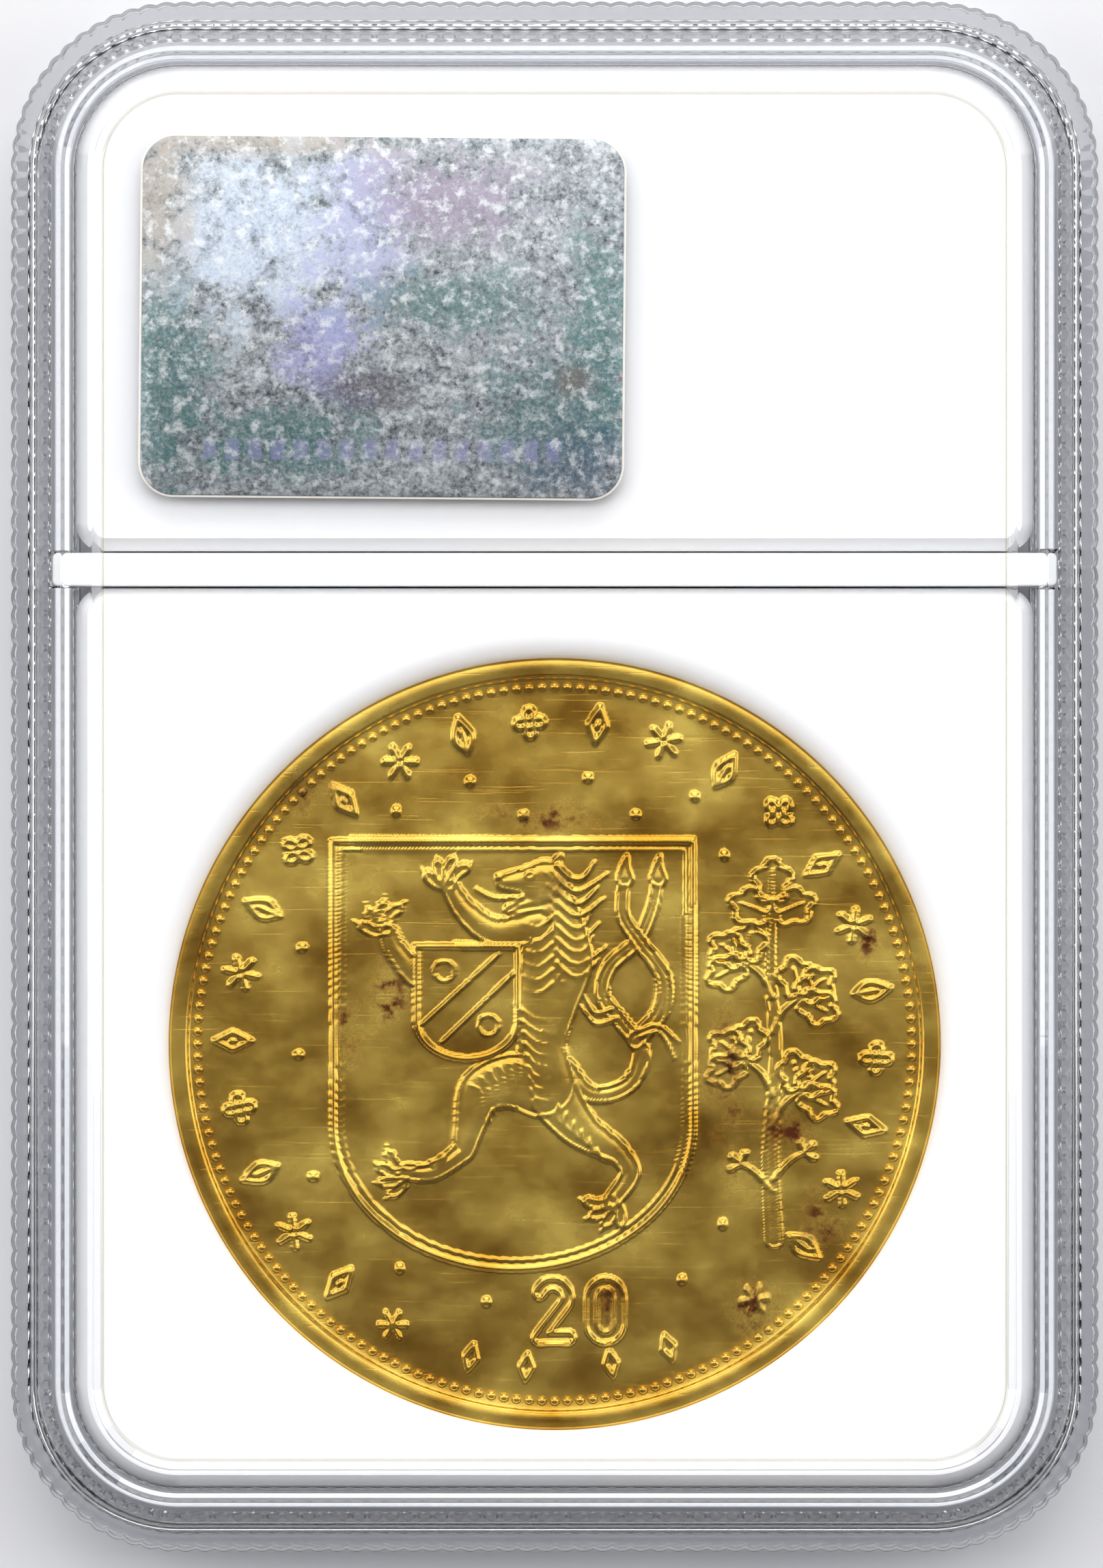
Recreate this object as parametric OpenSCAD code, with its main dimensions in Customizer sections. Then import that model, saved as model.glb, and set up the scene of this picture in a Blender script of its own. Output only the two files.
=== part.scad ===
// Graded coin slab: two clear moulded shells, welded round the edge, that hold a white
// coin insert, a white label carrier, the grading label and one coin. A foil security
// seal is stuck on the back.
//
// Frame: the slab lies on its front rim with its back up. X is the width, +Y points to
// the label end and +Z comes out of the back. The origin is the centre of the footprint.
// Edge sections are drawn as (u, z), where u is the distance in from the widest outline.

/* [Slab] */
// Overall width across the edges
slab_w = 59; // [52:0.5:75]
// Overall height, label end to coin end
slab_h = 84; // [83:0.5:110]
// Overall thickness, front rim to back rim
slab_t = 8; // [7:0.1:11]
// Radius of the outer corners
corner_r = 9.2; // [8:0.1:12]

/* [Shells] */
// Thickness of the back shell's side wall
wall_t = 2.1; // [1.8:0.1:2.6]
// Thickness of the locating wall that rises inside the back shell
inner_wall_t = 1.2; // [0.8:0.1:1.6]
// Thickness of each clear window
window_t = 1; // [0.8:0.1:1.4]
// Width of the stacking ledge outside the back rim
ledge_w = 1.3; // [1:0.1:1.5]
// Width of the back rim's flat top
rim_w = 1.3; // [1:0.1:1.4]
// Height of the back rim above its ledge
rim_rise = 0.8; // [0.5:0.05:1]
// Depth of the flat frame inside the back rim, below the rim
frame_drop = 0.45; // [0.2:0.05:0.5]
// Depth of the back window below the rim
back_recess = 0.9; // [0.8:0.05:1.1]
// Width of the white bar between the label and the coin
bar_w = 1.8; // [1.2:0.1:2.4]
// Length of the label compartment, bar to inner wall
label_room = 26.5; // [23:0.5:27]

/* [Coin] */
// Diameter of the coin
coin_d = 42; // [34:0.5:42.5]
// Thickness of the coin at its rim
coin_t = 1.7; // [1.2:0.05:2.2]
// Depth of the coin's field below its rim
coin_field_depth = 0.22; // [0.1:0.02:0.3]
// Width of the coin's plain rim
coin_rim_w = 1.1; // [0.6:0.1:1.6]

/* [Inserts] */
// Width of the bevel round the inserts' edges
bevel_w = 0.7; // [0.4:0.1:1]
// Depth of the bevel round the inserts' edges
bevel_d = 0.8; // [0.4:0.1:1]
// Width of the soft dish round the coin
dish_w = 1.5; // [0.8:0.1:2]
// Distance of the coin's bore below the middle of its compartment
bore_drop = 0.35; // [0:0.05:0.6]

/* [Label and seal] */
// Thickness of the printed label
label_t = 0.3; // [0.2:0.05:0.4]
// Width of the security seal
seal_w = 26; // [20:0.1:30]
// Height of the security seal
seal_h = 19.4; // [15:0.1:21]
// Corner radius of the security seal
seal_r = 1.8; // [1:0.1:3]
// Distance of the seal's centre from the slab's centre line, to the left
seal_off_x = 9.3; // [0:0.1:10]
// Distance of the seal's centre above the middle of the label bay
seal_off_y = 0.25; // [-1:0.05:1]
// Angle at which the seal was stuck on
seal_turn = -0.5; // [-1:0.1:1]

/* [Hidden] */
$fn = 96;

// Clearances
fit_gap = 0.1;          // inserts in the inner wall, and inner wall in the back shell
seam_gap = 0.04;        // half of the open seam on each side of the weld
coin_gap = 0.05;        // radial running clearance of the coin in its bore
coin_seat_gap = 0.03;   // clearance under the coin and to the snap bead
face_gap = 0.07;        // inserts and bar to the windows
label_gap = 0.03;       // label to its carrier
inner_wall_gap = 0.3;   // top of the inner wall to the back window
eps = 0.01;

// Heights of the shells
seam_z = slab_t / 2;
ledge_z = slab_t - rim_rise;
frame_z = slab_t - frame_drop;
back_window_z = slab_t - back_recess;
cavity_top = back_window_z - window_t;
cavity_bottom = slab_t - cavity_top;
front_window_z = cavity_bottom - window_t;
inner_wall_top = cavity_top - inner_wall_gap;

// Edge section of the shells
edge_land = 1;          // upright land on each side of the seam
edge_draft = 0.12;      // draft of the side walls above and below the lands
edge_chamfer = 0.25;
rim_lean = 0.12;        // lean of the back rim's outer face
rim_soft = 0.15;        // chamfer on the back rim
rim_slope = 0.5;        // run of the slope from the back rim down to the frame
frame_w = 1.15;         // width of the flat frame
frame_bevel = 0.55;     // run of the bevel from the frame down to the window
front_rim_w = ledge_w - fit_gap;
front_slope = 0.25;     // run of the slope from the front rim to the window
inner_wall_u = wall_t + fit_gap;
insert_u = inner_wall_u + inner_wall_t + fit_gap;
rim_start = ledge_w + rim_lean + rim_soft;
frame_start = rim_start + rim_w + rim_slope;
window_u = frame_start + frame_w + frame_bevel;
plate_overlap = 0.1;    // edge sections reach this far under the window plates
front_plate_u = insert_u + plate_overlap;
back_plate_u = window_u + plate_overlap;

// Weld joint: the bead fills the rebate at the inner edge of each shell's land
weld_w = 0.5;
weld_d = 0.3;
weld_u = wall_t - weld_w;

// Inserts and bar
insert_top = cavity_top - face_gap;
insert_bottom = cavity_bottom + face_gap;
split_r = 1.5;          // corner radius of the inserts beside the bar
label_z = insert_bottom;
carrier_bottom = label_z + label_t + label_gap;

bar_y = slab_h / 2 - inner_wall_u - inner_wall_t - label_room - bar_w / 2;
coin_side_y = bar_y - bar_w / 2 - fit_gap;
label_side_y = bar_y + bar_w / 2 + fit_gap;

// Coin and its bore
coin_r = coin_d / 2;
coin_chamfer = 0.15;
lip_w = 0.6;            // width of the lip that the coin's rim rests on
lip_t = 0.3;            // thickness of that lip
bead_w = 0.08;          // reach of the snap bead over the coin's rim
bead_t = 0.06;          // thickness of the snap bead at the bore
coin_low_y = -slab_h / 2 + insert_u;
coin_y = (coin_side_y + coin_low_y) / 2 - bore_drop;
bore_r = coin_r + coin_gap;
lip_r = coin_r - lip_w;
bead_r = coin_r - bead_w;
coin_top = seam_z + coin_t / 2;
coin_bottom = seam_z - coin_t / 2;
lip_z = coin_bottom - coin_seat_gap;
bead_z = coin_top + coin_seat_gap;
relief_h = 0.12;
beading_gap = 0.35;     // coin's rim to its ring of beading
beading_w = 0.5;
beading_r = coin_r - coin_rim_w - beading_gap;
rim_dip = 0.15;         // run of the slope from the coin's rim to its field
shield_w = 17;
shield_h = 19;
shield_x = -2;          // place of the shield's middle
shield_line = 0.35;     // width of the shield's raised outline
shield_foot = 0.4;      // radius of the shield's foot, as a share of its width
design_scale = coin_d / 42;

// Label and seal
label_inset = insert_u + bevel_w + 0.2;
adhesive_t = 0.06;
foil_t = 0.08;
adhesive_border = 0.12;
seal_y = (slab_h / 2 - window_u + label_side_y) / 2 + seal_off_y;

module rounded(w, h, r) {
    square([w, h - 2 * r], center = true);
    square([w - 2 * r, h], center = true);
    for (x = [-1, 1], y = [-1, 1])
        translate([x * (w / 2 - r), y * (h / 2 - r)]) circle(r);
}

// A plate that fills the slab's outline from u inwards, between two heights.
module plate(u, low, high) {
    translate([0, 0, low])
        linear_extrude(high - low)
            rounded(slab_w - 2 * u, slab_h - 2 * u, corner_r - u);
}

// Carries an edge section, drawn as (u, z), once round a rounded rectangle.
module carry_round(w, h, r) {
    run = [h - 2 * r, w - 2 * r];
    half = [w / 2, h / 2];
    for (k = [0:3])
        rotate([0, 0, 90 * k])
            translate([half[k % 2], run[k % 2] / 2, 0])
                rotate([90, 0, 0])
                    linear_extrude(run[k % 2]) mirror([1, 0]) children();
    for (k = [0:3])
        rotate([0, 0, 90 * k])
            translate([half[k % 2] - r, half[(k + 1) % 2] - r, 0])
                rotate_extrude(angle = 90)
                    translate([r, 0]) mirror([1, 0]) children();
}

module round_the_edge() {
    carry_round(slab_w, slab_h, corner_r) children();
}

module rear_section() {
    foot = seam_z + seam_gap;
    polygon([
        [0, foot],
        [0, foot + edge_land],
        [edge_draft, ledge_z - edge_chamfer],
        [edge_draft + edge_chamfer, ledge_z],
        [ledge_w, ledge_z],
        [ledge_w + rim_lean, slab_t - rim_soft],
        [rim_start, slab_t],
        [rim_start + rim_w, slab_t],
        [frame_start, frame_z],
        [frame_start + frame_w, frame_z],
        [window_u, back_window_z],
        [back_plate_u, back_window_z],
        [back_plate_u, cavity_top],
        [wall_t, cavity_top],
        [wall_t, seam_z + weld_d],
        [weld_u, seam_z + weld_d],
        [weld_u, foot]
    ]);
}

module front_section() {
    head = seam_z - seam_gap;
    polygon([
        [0, head],
        [0, head - edge_land],
        [edge_draft, edge_chamfer],
        [edge_draft + edge_chamfer, 0],
        [front_rim_w, 0],
        [front_rim_w + front_slope, front_window_z],
        [front_plate_u, front_window_z],
        [front_plate_u, cavity_bottom],
        [inner_wall_u + inner_wall_t, cavity_bottom],
        [inner_wall_u + inner_wall_t, inner_wall_top],
        [inner_wall_u, inner_wall_top],
        [inner_wall_u, seam_z - weld_d],
        [weld_u, seam_z - weld_d],
        [weld_u, head]
    ]);
}

module front_shell() {
    color([0.86, 0.89, 0.93, 0.35])
        difference() {
            union() {
                round_the_edge() front_section();
                plate(front_plate_u, front_window_z, cavity_bottom);
            }
            // Notches in the locating wall that the white bar's ends drop into
            translate([0, bar_y, cavity_bottom + slab_t / 2])
                cube([slab_w - 2 * inner_wall_u + 2 * eps, bar_w + 2 * fit_gap, slab_t],
                     center = true);
        }
}

module rear_shell() {
    color([0.86, 0.89, 0.93, 0.35]) {
        round_the_edge() rear_section();
        plate(back_plate_u, cavity_top, back_window_z);
    }
}

module weld_bead() {
    color([0.8, 0.83, 0.88, 0.5])
        round_the_edge()
            translate([weld_u, seam_z - weld_d]) square([inner_wall_u - weld_u, 2 * weld_d]);
}

// A block with rounded corners and a bevel round both of its faces.
module bevelled_block(w, h, r, low, high) {
    inner = bevel_w + plate_overlap;
    carry_round(w, h, r)
        polygon([
            [0, low + bevel_d],
            [0, high - bevel_d],
            [bevel_w, high],
            [inner, high],
            [inner, low],
            [bevel_w, low]
        ]);
    translate([0, 0, low])
        linear_extrude(high - low) rounded(w - 2 * inner, h - 2 * inner, r - inner);
}

// The part of the inserts' outline between two heights along Y.
module insert_blank(low_y, high_y, low, high) {
    w = slab_w - 2 * insert_u;
    intersection() {
        bevelled_block(w, slab_h - 2 * insert_u, corner_r - insert_u, low, high);
        translate([0, (low_y + high_y) / 2, 0])
            bevelled_block(w, high_y - low_y, split_r, low, high);
    }
}

// Concave quarter curve from the bore's edge up to the flat field.
function dish_curve(r, low, high) = [
    for (k = [0:6])
        let (a = 90 * k / 6)
            [r + dish_w * (1 - cos(a)), low + (high - low) * sin(a)]
];

module coin_bore() {
    upper = dish_curve(bead_r, bead_z + bead_t, insert_top);
    lower = dish_curve(lip_r, lip_z - lip_t, insert_bottom);
    translate([0, coin_y, 0])
        rotate_extrude()
            polygon(concat(
                [[0, 0], [lower[6][0], 0]],
                [for (k = [6:-1:0]) lower[k]],
                [[lip_r, lip_z]],
                [[bore_r, lip_z], [bore_r, coin_top - coin_chamfer], [bead_r, bead_z]],
                upper,
                [[upper[6][0], slab_t], [0, slab_t]]
            ));
}

module coin_insert() {
    color([0.96, 0.96, 0.95])
        difference() {
            insert_blank(-slab_h, coin_side_y, insert_bottom, insert_top);
            coin_bore();
        }
}

module label_carrier() {
    color([0.96, 0.96, 0.95])
        insert_blank(label_side_y, slab_h, carrier_bottom, insert_top);
}

module divider_bar() {
    color([0.96, 0.96, 0.95])
        translate([0, bar_y, (insert_bottom + insert_top) / 2])
            cube([slab_w - 2 * (inner_wall_u + fit_gap), bar_w, insert_top - insert_bottom],
                 center = true);
}

module grading_label() {
    low_y = label_side_y + label_inset - insert_u;
    high_y = slab_h / 2 - label_inset;
    color([0.93, 0.92, 0.88])
        translate([0, (low_y + high_y) / 2, label_z])
            linear_extrude(label_t)
                rounded(slab_w - 2 * label_inset, high_y - low_y, corner_r - label_inset);
}

module coin() {
    half = coin_t / 2;
    field = half - coin_field_depth;
    rim_in = coin_r - coin_rim_w;
    outline = [
        [0, field],
        [rim_in - rim_dip, field],
        [rim_in, half],
        [coin_r - coin_chamfer, half],
        [coin_r, half - coin_chamfer]
    ];
    color([0.83, 0.66, 0.22])
        translate([0, coin_y, seam_z]) {
            rotate_extrude()
                polygon(concat(outline, [for (k = [4:-1:0]) [outline[k][0], -outline[k][1]]]));
            for (side = [0, 1])
                mirror([0, 0, side])
                    translate([0, 0, field - eps])
                        linear_extrude(relief_h + eps)
                            difference() {
                                circle(beading_r);
                                circle(beading_r - beading_w);
                            }
            translate([shield_x * design_scale, 0, field - eps])
                linear_extrude(relief_h + eps)
                    scale(design_scale) shield_outline();
        }
}

// Raised line round the coin's shield: square shoulders and a round foot.
module shield_outline() {
    difference() {
        shield_shape(shield_w, shield_h);
        shield_shape(shield_w - 2 * shield_line, shield_h - 2 * shield_line);
    }
}

module shield_shape(w, h) {
    foot_r = shield_foot * w;
    translate([-w / 2, -h / 2 + foot_r]) square([w, h - foot_r]);
    translate([-w / 2 + foot_r, -h / 2]) square([w - 2 * foot_r, foot_r + eps]);
    for (x = [-1, 1])
        translate([x * (w / 2 - foot_r), -h / 2 + foot_r]) circle(foot_r);
}

module sticker(border, low, thickness) {
    translate([-seal_off_x, seal_y, low])
        rotate([0, 0, seal_turn])
            linear_extrude(thickness)
                rounded(seal_w + 2 * border, seal_h + 2 * border, seal_r + border);
}

module seal_adhesive() {
    color([0.92, 0.9, 0.84]) sticker(adhesive_border, back_window_z, adhesive_t);
}

module security_seal() {
    color([0.6, 0.66, 0.67]) sticker(0, back_window_z + adhesive_t, foil_t);
}

front_shell();
rear_shell();
weld_bead();
coin_insert();
label_carrier();
divider_bar();
grading_label();
coin();
seal_adhesive();
security_seal();
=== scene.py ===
# %% [markdown]
# # A graded coin slab
#
# A coin slab is a sealed holder: two clear moulded shells are welded round the edge, and hold a
# white insert, a label on its carrier, and one coin. A foil seal is stuck on the back. The packed
# model holds every size and place, so each piece here is made from it and rides on its bodies.

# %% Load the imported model
import math

import bmesh
import bpy
import numpy as np
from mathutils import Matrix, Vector


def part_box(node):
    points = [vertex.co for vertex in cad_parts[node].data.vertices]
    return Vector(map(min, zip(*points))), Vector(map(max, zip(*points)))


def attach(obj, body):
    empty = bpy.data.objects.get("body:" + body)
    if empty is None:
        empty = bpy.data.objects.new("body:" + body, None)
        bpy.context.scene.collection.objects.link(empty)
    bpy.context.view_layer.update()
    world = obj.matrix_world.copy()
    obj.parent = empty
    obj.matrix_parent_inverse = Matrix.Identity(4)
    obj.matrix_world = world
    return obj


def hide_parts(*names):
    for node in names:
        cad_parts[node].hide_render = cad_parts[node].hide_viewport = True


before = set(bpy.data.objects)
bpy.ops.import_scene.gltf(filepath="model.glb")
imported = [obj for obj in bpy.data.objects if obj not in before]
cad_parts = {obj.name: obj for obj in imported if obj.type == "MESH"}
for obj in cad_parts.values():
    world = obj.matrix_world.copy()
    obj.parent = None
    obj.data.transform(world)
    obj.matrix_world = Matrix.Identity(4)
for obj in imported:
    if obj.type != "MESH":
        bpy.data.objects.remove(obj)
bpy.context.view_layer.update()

# %% [markdown]
# ## Measures
#
# Pieces are written in millimetres and turned to metres when a mesh is made. Lights alone are in
# metres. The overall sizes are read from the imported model. The edge sections repeat the design's
# own values: a section point is (u, z), where u is the distance in from the widest outline and z
# is the height.

# %% Sizes of the pieces
MM = 0.001


def box_mm(node):
    """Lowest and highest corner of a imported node, in millimetres."""
    low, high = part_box(node)
    return np.array(low) / MM, np.array(high) / MM


SLAB_LOW, SLAB_HIGH = box_mm("front_shell")
SLAB_W, SLAB_H = (SLAB_HIGH - SLAB_LOW)[:2]
SLAB_T = box_mm("rear_shell")[1][2]
CORNER_R = 9.2
COIN_LOW, COIN_HIGH = box_mm("coin")
COIN_CENTRE = (COIN_LOW + COIN_HIGH) / 2
COIN_R = (COIN_HIGH[0] - COIN_LOW[0]) / 2
BAR_LOW, BAR_HIGH = box_mm("divider_bar")
print(f"slab {SLAB_W:.2f} x {SLAB_H:.2f} x {SLAB_T:.2f}, coin radius {COIN_R:.2f}")

# %% [markdown]
# ## Small tools
#
# Colours are written as sRGB hex, as a paint chart gives them, and Blender wants linear light. A
# node is added with its settings and its links in one call, for materials and geometry alike.

# %% Colour and node helpers
def linear(hex_colour):
    """An sRGB hex colour as linear RGBA."""
    channels = [int(hex_colour[k:k + 2], 16) / 255 for k in (1, 3, 5)]
    return (*[c / 12.92 if c <= 0.04045 else ((c + 0.055) / 1.055) ** 2.4 for c in channels], 1)


def add(tree, kind, inputs=(), **settings):
    """Adds a node. Its inputs, by name or in order, are sockets, nodes, hex colours or values.

    A kind without "Node" in it gets the prefix that shader and math nodes share.
    """
    node = tree.nodes.new(kind if "Node" in kind else "ShaderNode" + kind)
    for name, value in settings.items():
        setattr(node, name, value)
    for name, value in inputs.items() if isinstance(inputs, dict) else enumerate(inputs):
        if isinstance(value, bpy.types.Node):
            value = next(socket for socket in value.outputs if socket.enabled)
        if isinstance(value, bpy.types.NodeSocket):
            tree.links.new(value, node.inputs[name])
        elif isinstance(value, str) and value.startswith("#"):
            node.inputs[name].default_value = linear(value)
        else:
            node.inputs[name].default_value = value
    return node


def new_material(name):
    """An empty material: its node tree, its Object coordinates and the material."""
    material = bpy.data.materials.new(name)
    material.use_nodes = True
    tree = material.node_tree
    tree.nodes.clear()
    return tree, add(tree, "TexCoord").outputs["Object"], material


def surfaced(material, shader):
    """The material, with its shader as its surface."""
    add(material.node_tree, "OutputMaterial", {"Surface": shader})
    print(f"{material.name}: {len(material.node_tree.nodes)} nodes")
    return material

# %% Mesh helpers
def mesh_object(name, points_mm, faces):
    """A mesh object at the origin, from points in millimetres."""
    mesh = bpy.data.meshes.new(name)
    mesh.from_pydata((np.asarray(points_mm) * MM).tolist(), [], faces)
    mesh.update()
    made = bpy.data.objects.new(name, mesh)
    bpy.context.scene.collection.objects.link(made)
    return made


def applied(made):
    """Turns an object's modifiers into its plain mesh and removes them."""
    made.update_tag()
    bpy.context.view_layer.update()
    depsgraph = bpy.context.evaluated_depsgraph_get()
    mesh = bpy.data.meshes.new_from_object(made.evaluated_get(depsgraph))
    made.modifiers.clear()
    made.data = mesh
    return made


def smooth_by_angle(made, degrees):
    """Smooth shading, with every edge sharper than the angle kept crisp."""
    made.data.shade_smooth()
    made.data.set_sharp_from_angle(angle=math.radians(degrees))


def place(made, material, body, node):
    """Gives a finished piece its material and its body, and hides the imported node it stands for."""
    made.data.materials.clear()
    made.data.materials.append(material)
    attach(made, body)
    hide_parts(node)
    triangles = sum(len(face.vertices) - 2 for face in made.data.polygons)
    print(f"{made.name}: {len(made.data.vertices)} vertices, {triangles} triangles")

# %% Outlines and stacks of outlines
def rounded_outline(width, height, radii, steps):
    """Points round a rectangle, with a radius for each of the NE, NW, SW and SE corners."""
    points = []
    for corner, (side, radius) in enumerate(zip(((1, 1), (-1, 1), (-1, -1), (1, -1)), radii)):
        middle = side[0] * (width / 2 - radius), side[1] * (height / 2 - radius)
        for k in range(steps + 1):
            angle = math.pi / 2 * (corner + k / steps)
            points.append((middle[0] + radius * math.cos(angle), middle[1] + radius * math.sin(angle)))
    return np.array(points)


def circle(radius, centre, steps):
    """Points round a circle, counter-clockwise."""
    angles = np.arange(steps) * 2 * math.pi / steps
    return np.column_stack([centre[0] + radius * np.cos(angles), centre[1] + radius * np.sin(angles)])


def stack(name, rings):
    """A closed solid skinned through (outline, height) rings from the bottom up."""
    count = len(rings[0][0])
    points = np.concatenate([np.column_stack([ring, np.full(count, z)]) for ring, z in rings])
    faces = [tuple(range(count))[::-1]]
    for level in range(len(rings) - 1):
        for k in range(count):
            here, after = level * count + k, level * count + (k + 1) % count
            faces.append((here, after, after + count, here + count))
    faces.append(tuple(range((len(rings) - 1) * count, len(rings) * count)))
    return mesh_object(name, points, faces)


def rounded_block(name, low, high, radii, levels, turn=0.0, shrink=1.0, steps=24):
    """A block or sheet between two corners, through (inset, height) levels from the bottom up."""
    angle = math.radians(turn)
    spin = np.array([(math.cos(angle), math.sin(angle)), (-math.sin(angle), math.cos(angle))])
    width, height = (high - low)[:2]
    return stack(name, [(rounded_outline(width - 2 * inset, height - 2 * inset,
        [max(r - shrink * inset, 0.05) for r in radii], steps) @ spin + (high + low)[:2] / 2,
        z) for inset, z in levels])

# %% [markdown]
# ## Clear plastic
#
# The shells are injection-moulded clear polystyrene, with an index of refraction of 1.59. Moulded
# faces are polished, so they mirror sharply, and handling leaves hairline scratches. Light that
# goes through a real shell still reaches what is inside. A path tracer loses that light, so the
# plastic lets shadow rays pass, with a little loss in its walls. A faint darker line round the
# corner of the window is painted shade, where the window's step shades the insert. The weld bead
# is the same plastic, remelted and full of tiny bubbles, which makes it hazy.

# %% Clear polystyrene
POLYSTYRENE_IOR = 1.59
# The third tint and the last two measures paint a faint line of shade round the window's corner.
WINDOW_TINT, WALL_TINT, SHADE_LINE_TINT = "#E6E6E8", "#EAEAEB", "#BDB8AC"
WINDOW_SHADE, WALL_SHADE = "#FAFAFB", "#DDDEE0"
WALL_U, PAST_WALL_U, SHADE_LINE_U, SHADE_LINE_HALF = 2.6, 3.5, 5.05, 0.07


def depth_inside(tree, place_on):
    """How far a place lies inside the slab's rounded outline, in metres."""
    mirrored = add(tree, "VectorMath", (place_on,), operation="ABSOLUTE")
    beyond = add(tree, "VectorMath", (mirrored, ((SLAB_W / 2 - CORNER_R) * MM,
        (SLAB_H / 2 - CORNER_R) * MM, 1)), operation="SUBTRACT")
    outer = add(tree, "VectorMath", (beyond, (0, 0, 0)), operation="MAXIMUM")
    away = add(tree, "VectorMath", (outer,), operation="LENGTH")
    return add(tree, "Math", (CORNER_R * MM, away), operation="SUBTRACT")


def colours_by_depth(tree, place_on):
    """What the plastic passes to the eye and to shadow rays, from the walls to the window, with a painted
    shade line round the window's corner.
    """
    inside = depth_inside(tree, place_on)
    walls = add(tree, "MapRange", {"Value": inside, "From Min": WALL_U * MM, "From Max": PAST_WALL_U * MM,
        "To Min": 1.0, "To Max": 0.0})
    # Painted shade: a narrow band of darker tint round the corner of the window.
    dust_and_shade_line = add(tree, "Math", (inside, SHADE_LINE_U * MM, SHADE_LINE_HALF * MM), operation="COMPARE")
    unmarked = add(tree, "Mix", {0: walls, 6: WINDOW_TINT, 7: WALL_TINT}, data_type="RGBA")
    tint = add(tree, "Mix", {0: dust_and_shade_line, 6: unmarked, 7: SHADE_LINE_TINT}, data_type="RGBA")
    shade = add(tree, "Mix", {0: walls, 6: WINDOW_SHADE, 7: WALL_SHADE}, data_type="RGBA")
    return tint, shade


def clear_plastic(name, roughness, scratch_depth, all_wall=False):
    """Clear moulded plastic, with hairline scratches of a given depth in millimetres."""
    tree, place_on, material = new_material(name)
    tint, shade = (WALL_TINT, WALL_SHADE) if all_wall else colours_by_depth(tree, place_on)
    turned = add(tree, "Mapping", {"Vector": place_on, "Rotation": (0, 0, 0.7), "Scale": (70, 1400, 70)})
    hairs = add(tree, "TexNoise", {"Vector": turned, "Scale": 1, "Detail": 1})
    lines = add(tree, "MapRange", {"Value": hairs, "From Min": 0.68, "From Max": 0.76})
    scratches = add(tree, "Bump", {"Height": lines, "Strength": 0.4, "Distance": scratch_depth * MM})
    plastic = add(tree, "BsdfPrincipled", {"Base Color": tint, "Roughness": roughness,
        "IOR": POLYSTYRENE_IOR, "Transmission Weight": 1, "Normal": scratches})
    light_path = add(tree, "LightPath")
    passing = add(tree, "BsdfTransparent", {"Color": shade})
    mixed = add(tree, "MixShader", (light_path.outputs["Is Shadow Ray"], plastic, passing))
    return surfaced(material, mixed)


CLEAR_PLASTIC = clear_plastic("clear_moulded_polystyrene", 0.02, 0.0012)
WELD_PLASTIC = clear_plastic("remelted_polystyrene", 0.24, 0.01, all_wall=True)


def highlight_line_plastic():
    """The same plastic made white and translucent, as a painted highlight: a bright line along the
    locating wall's top.
    """
    tree, place_on, material = new_material("painted_highlight_polystyrene")
    texture = add(tree, "TexNoise", {"Vector": place_on, "Scale": 1 / (0.25 * MM), "Detail": 3})
    colour = add(tree, "Mix", {0: texture, 6: "#E4E8EE", 7: "#FCFDFE"}, data_type="RGBA")
    shader = add(tree, "BsdfPrincipled", {"Base Color": colour, "Roughness": 0.45,
        "IOR": POLYSTYRENE_IOR})
    return surfaced(material, shader)


HIGHLIGHT_LINE_PLASTIC = highlight_line_plastic()

# %% [markdown]
# ## The shells
#
# Each shell is one moulding: a window with an edge section carried all the way round it. That is
# a shape with a rule, so Geometry Nodes carries the section round the slab's outline. The outer
# wall has fine upright flutes for grip. They follow the path too, so the same tree presses them
# in: each station on the path knows how far round it is, and a rectified sine makes round ridges
# with narrow valleys. A Set Position node moves only what lies near the outside.

# %% Starting, ending and running a geometry tree
def open_tree(name, wanted):
    """A new tree with named inputs (name, kind and default): the tree and what it is given."""
    tree = bpy.data.node_groups.new(name, "GeometryNodeTree")
    for label, kind, *default in wanted:
        socket = tree.interface.new_socket(label, in_out="INPUT", socket_type="NodeSocket" + kind)
        if default:
            socket.default_value = default[0]
    tree.interface.new_socket("Made", in_out="OUTPUT", socket_type="NodeSocketGeometry")
    return tree, add(tree, "NodeGroupInput").outputs


def close_tree(tree, given, shape):
    """Ends a tree in real, painted geometry."""
    real = add(tree, "GeometryNodeRealizeInstances", {"Geometry": shape})
    painted = add(tree, "GeometryNodeSetMaterial", {"Geometry": real, "Material": given["Material"]})
    add(tree, "NodeGroupOutput", {"Made": painted})
    print(f"{tree.name}: {len(tree.nodes)} nodes")
    return tree


def run_tree(made, tree, values):
    """Runs a tree on an object with its inputs set by name, and keeps the plain mesh."""
    modifier = made.modifiers.new(tree.name, "NODES")
    modifier.node_group = tree
    for socket in tree.interface.items_tree:
        if socket.in_out == "INPUT" and socket.name in values:
            modifier[socket.identifier] = values[socket.name]
    return applied(made)

# %% Tree: carry a section round the slab
FLUTES, STATIONS_PER_FLUTE = 264, 6
FLUTE_DEPTH, FLUTE_REACH, FLUTES_END = 0.13, 0.5, 1.3


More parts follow.
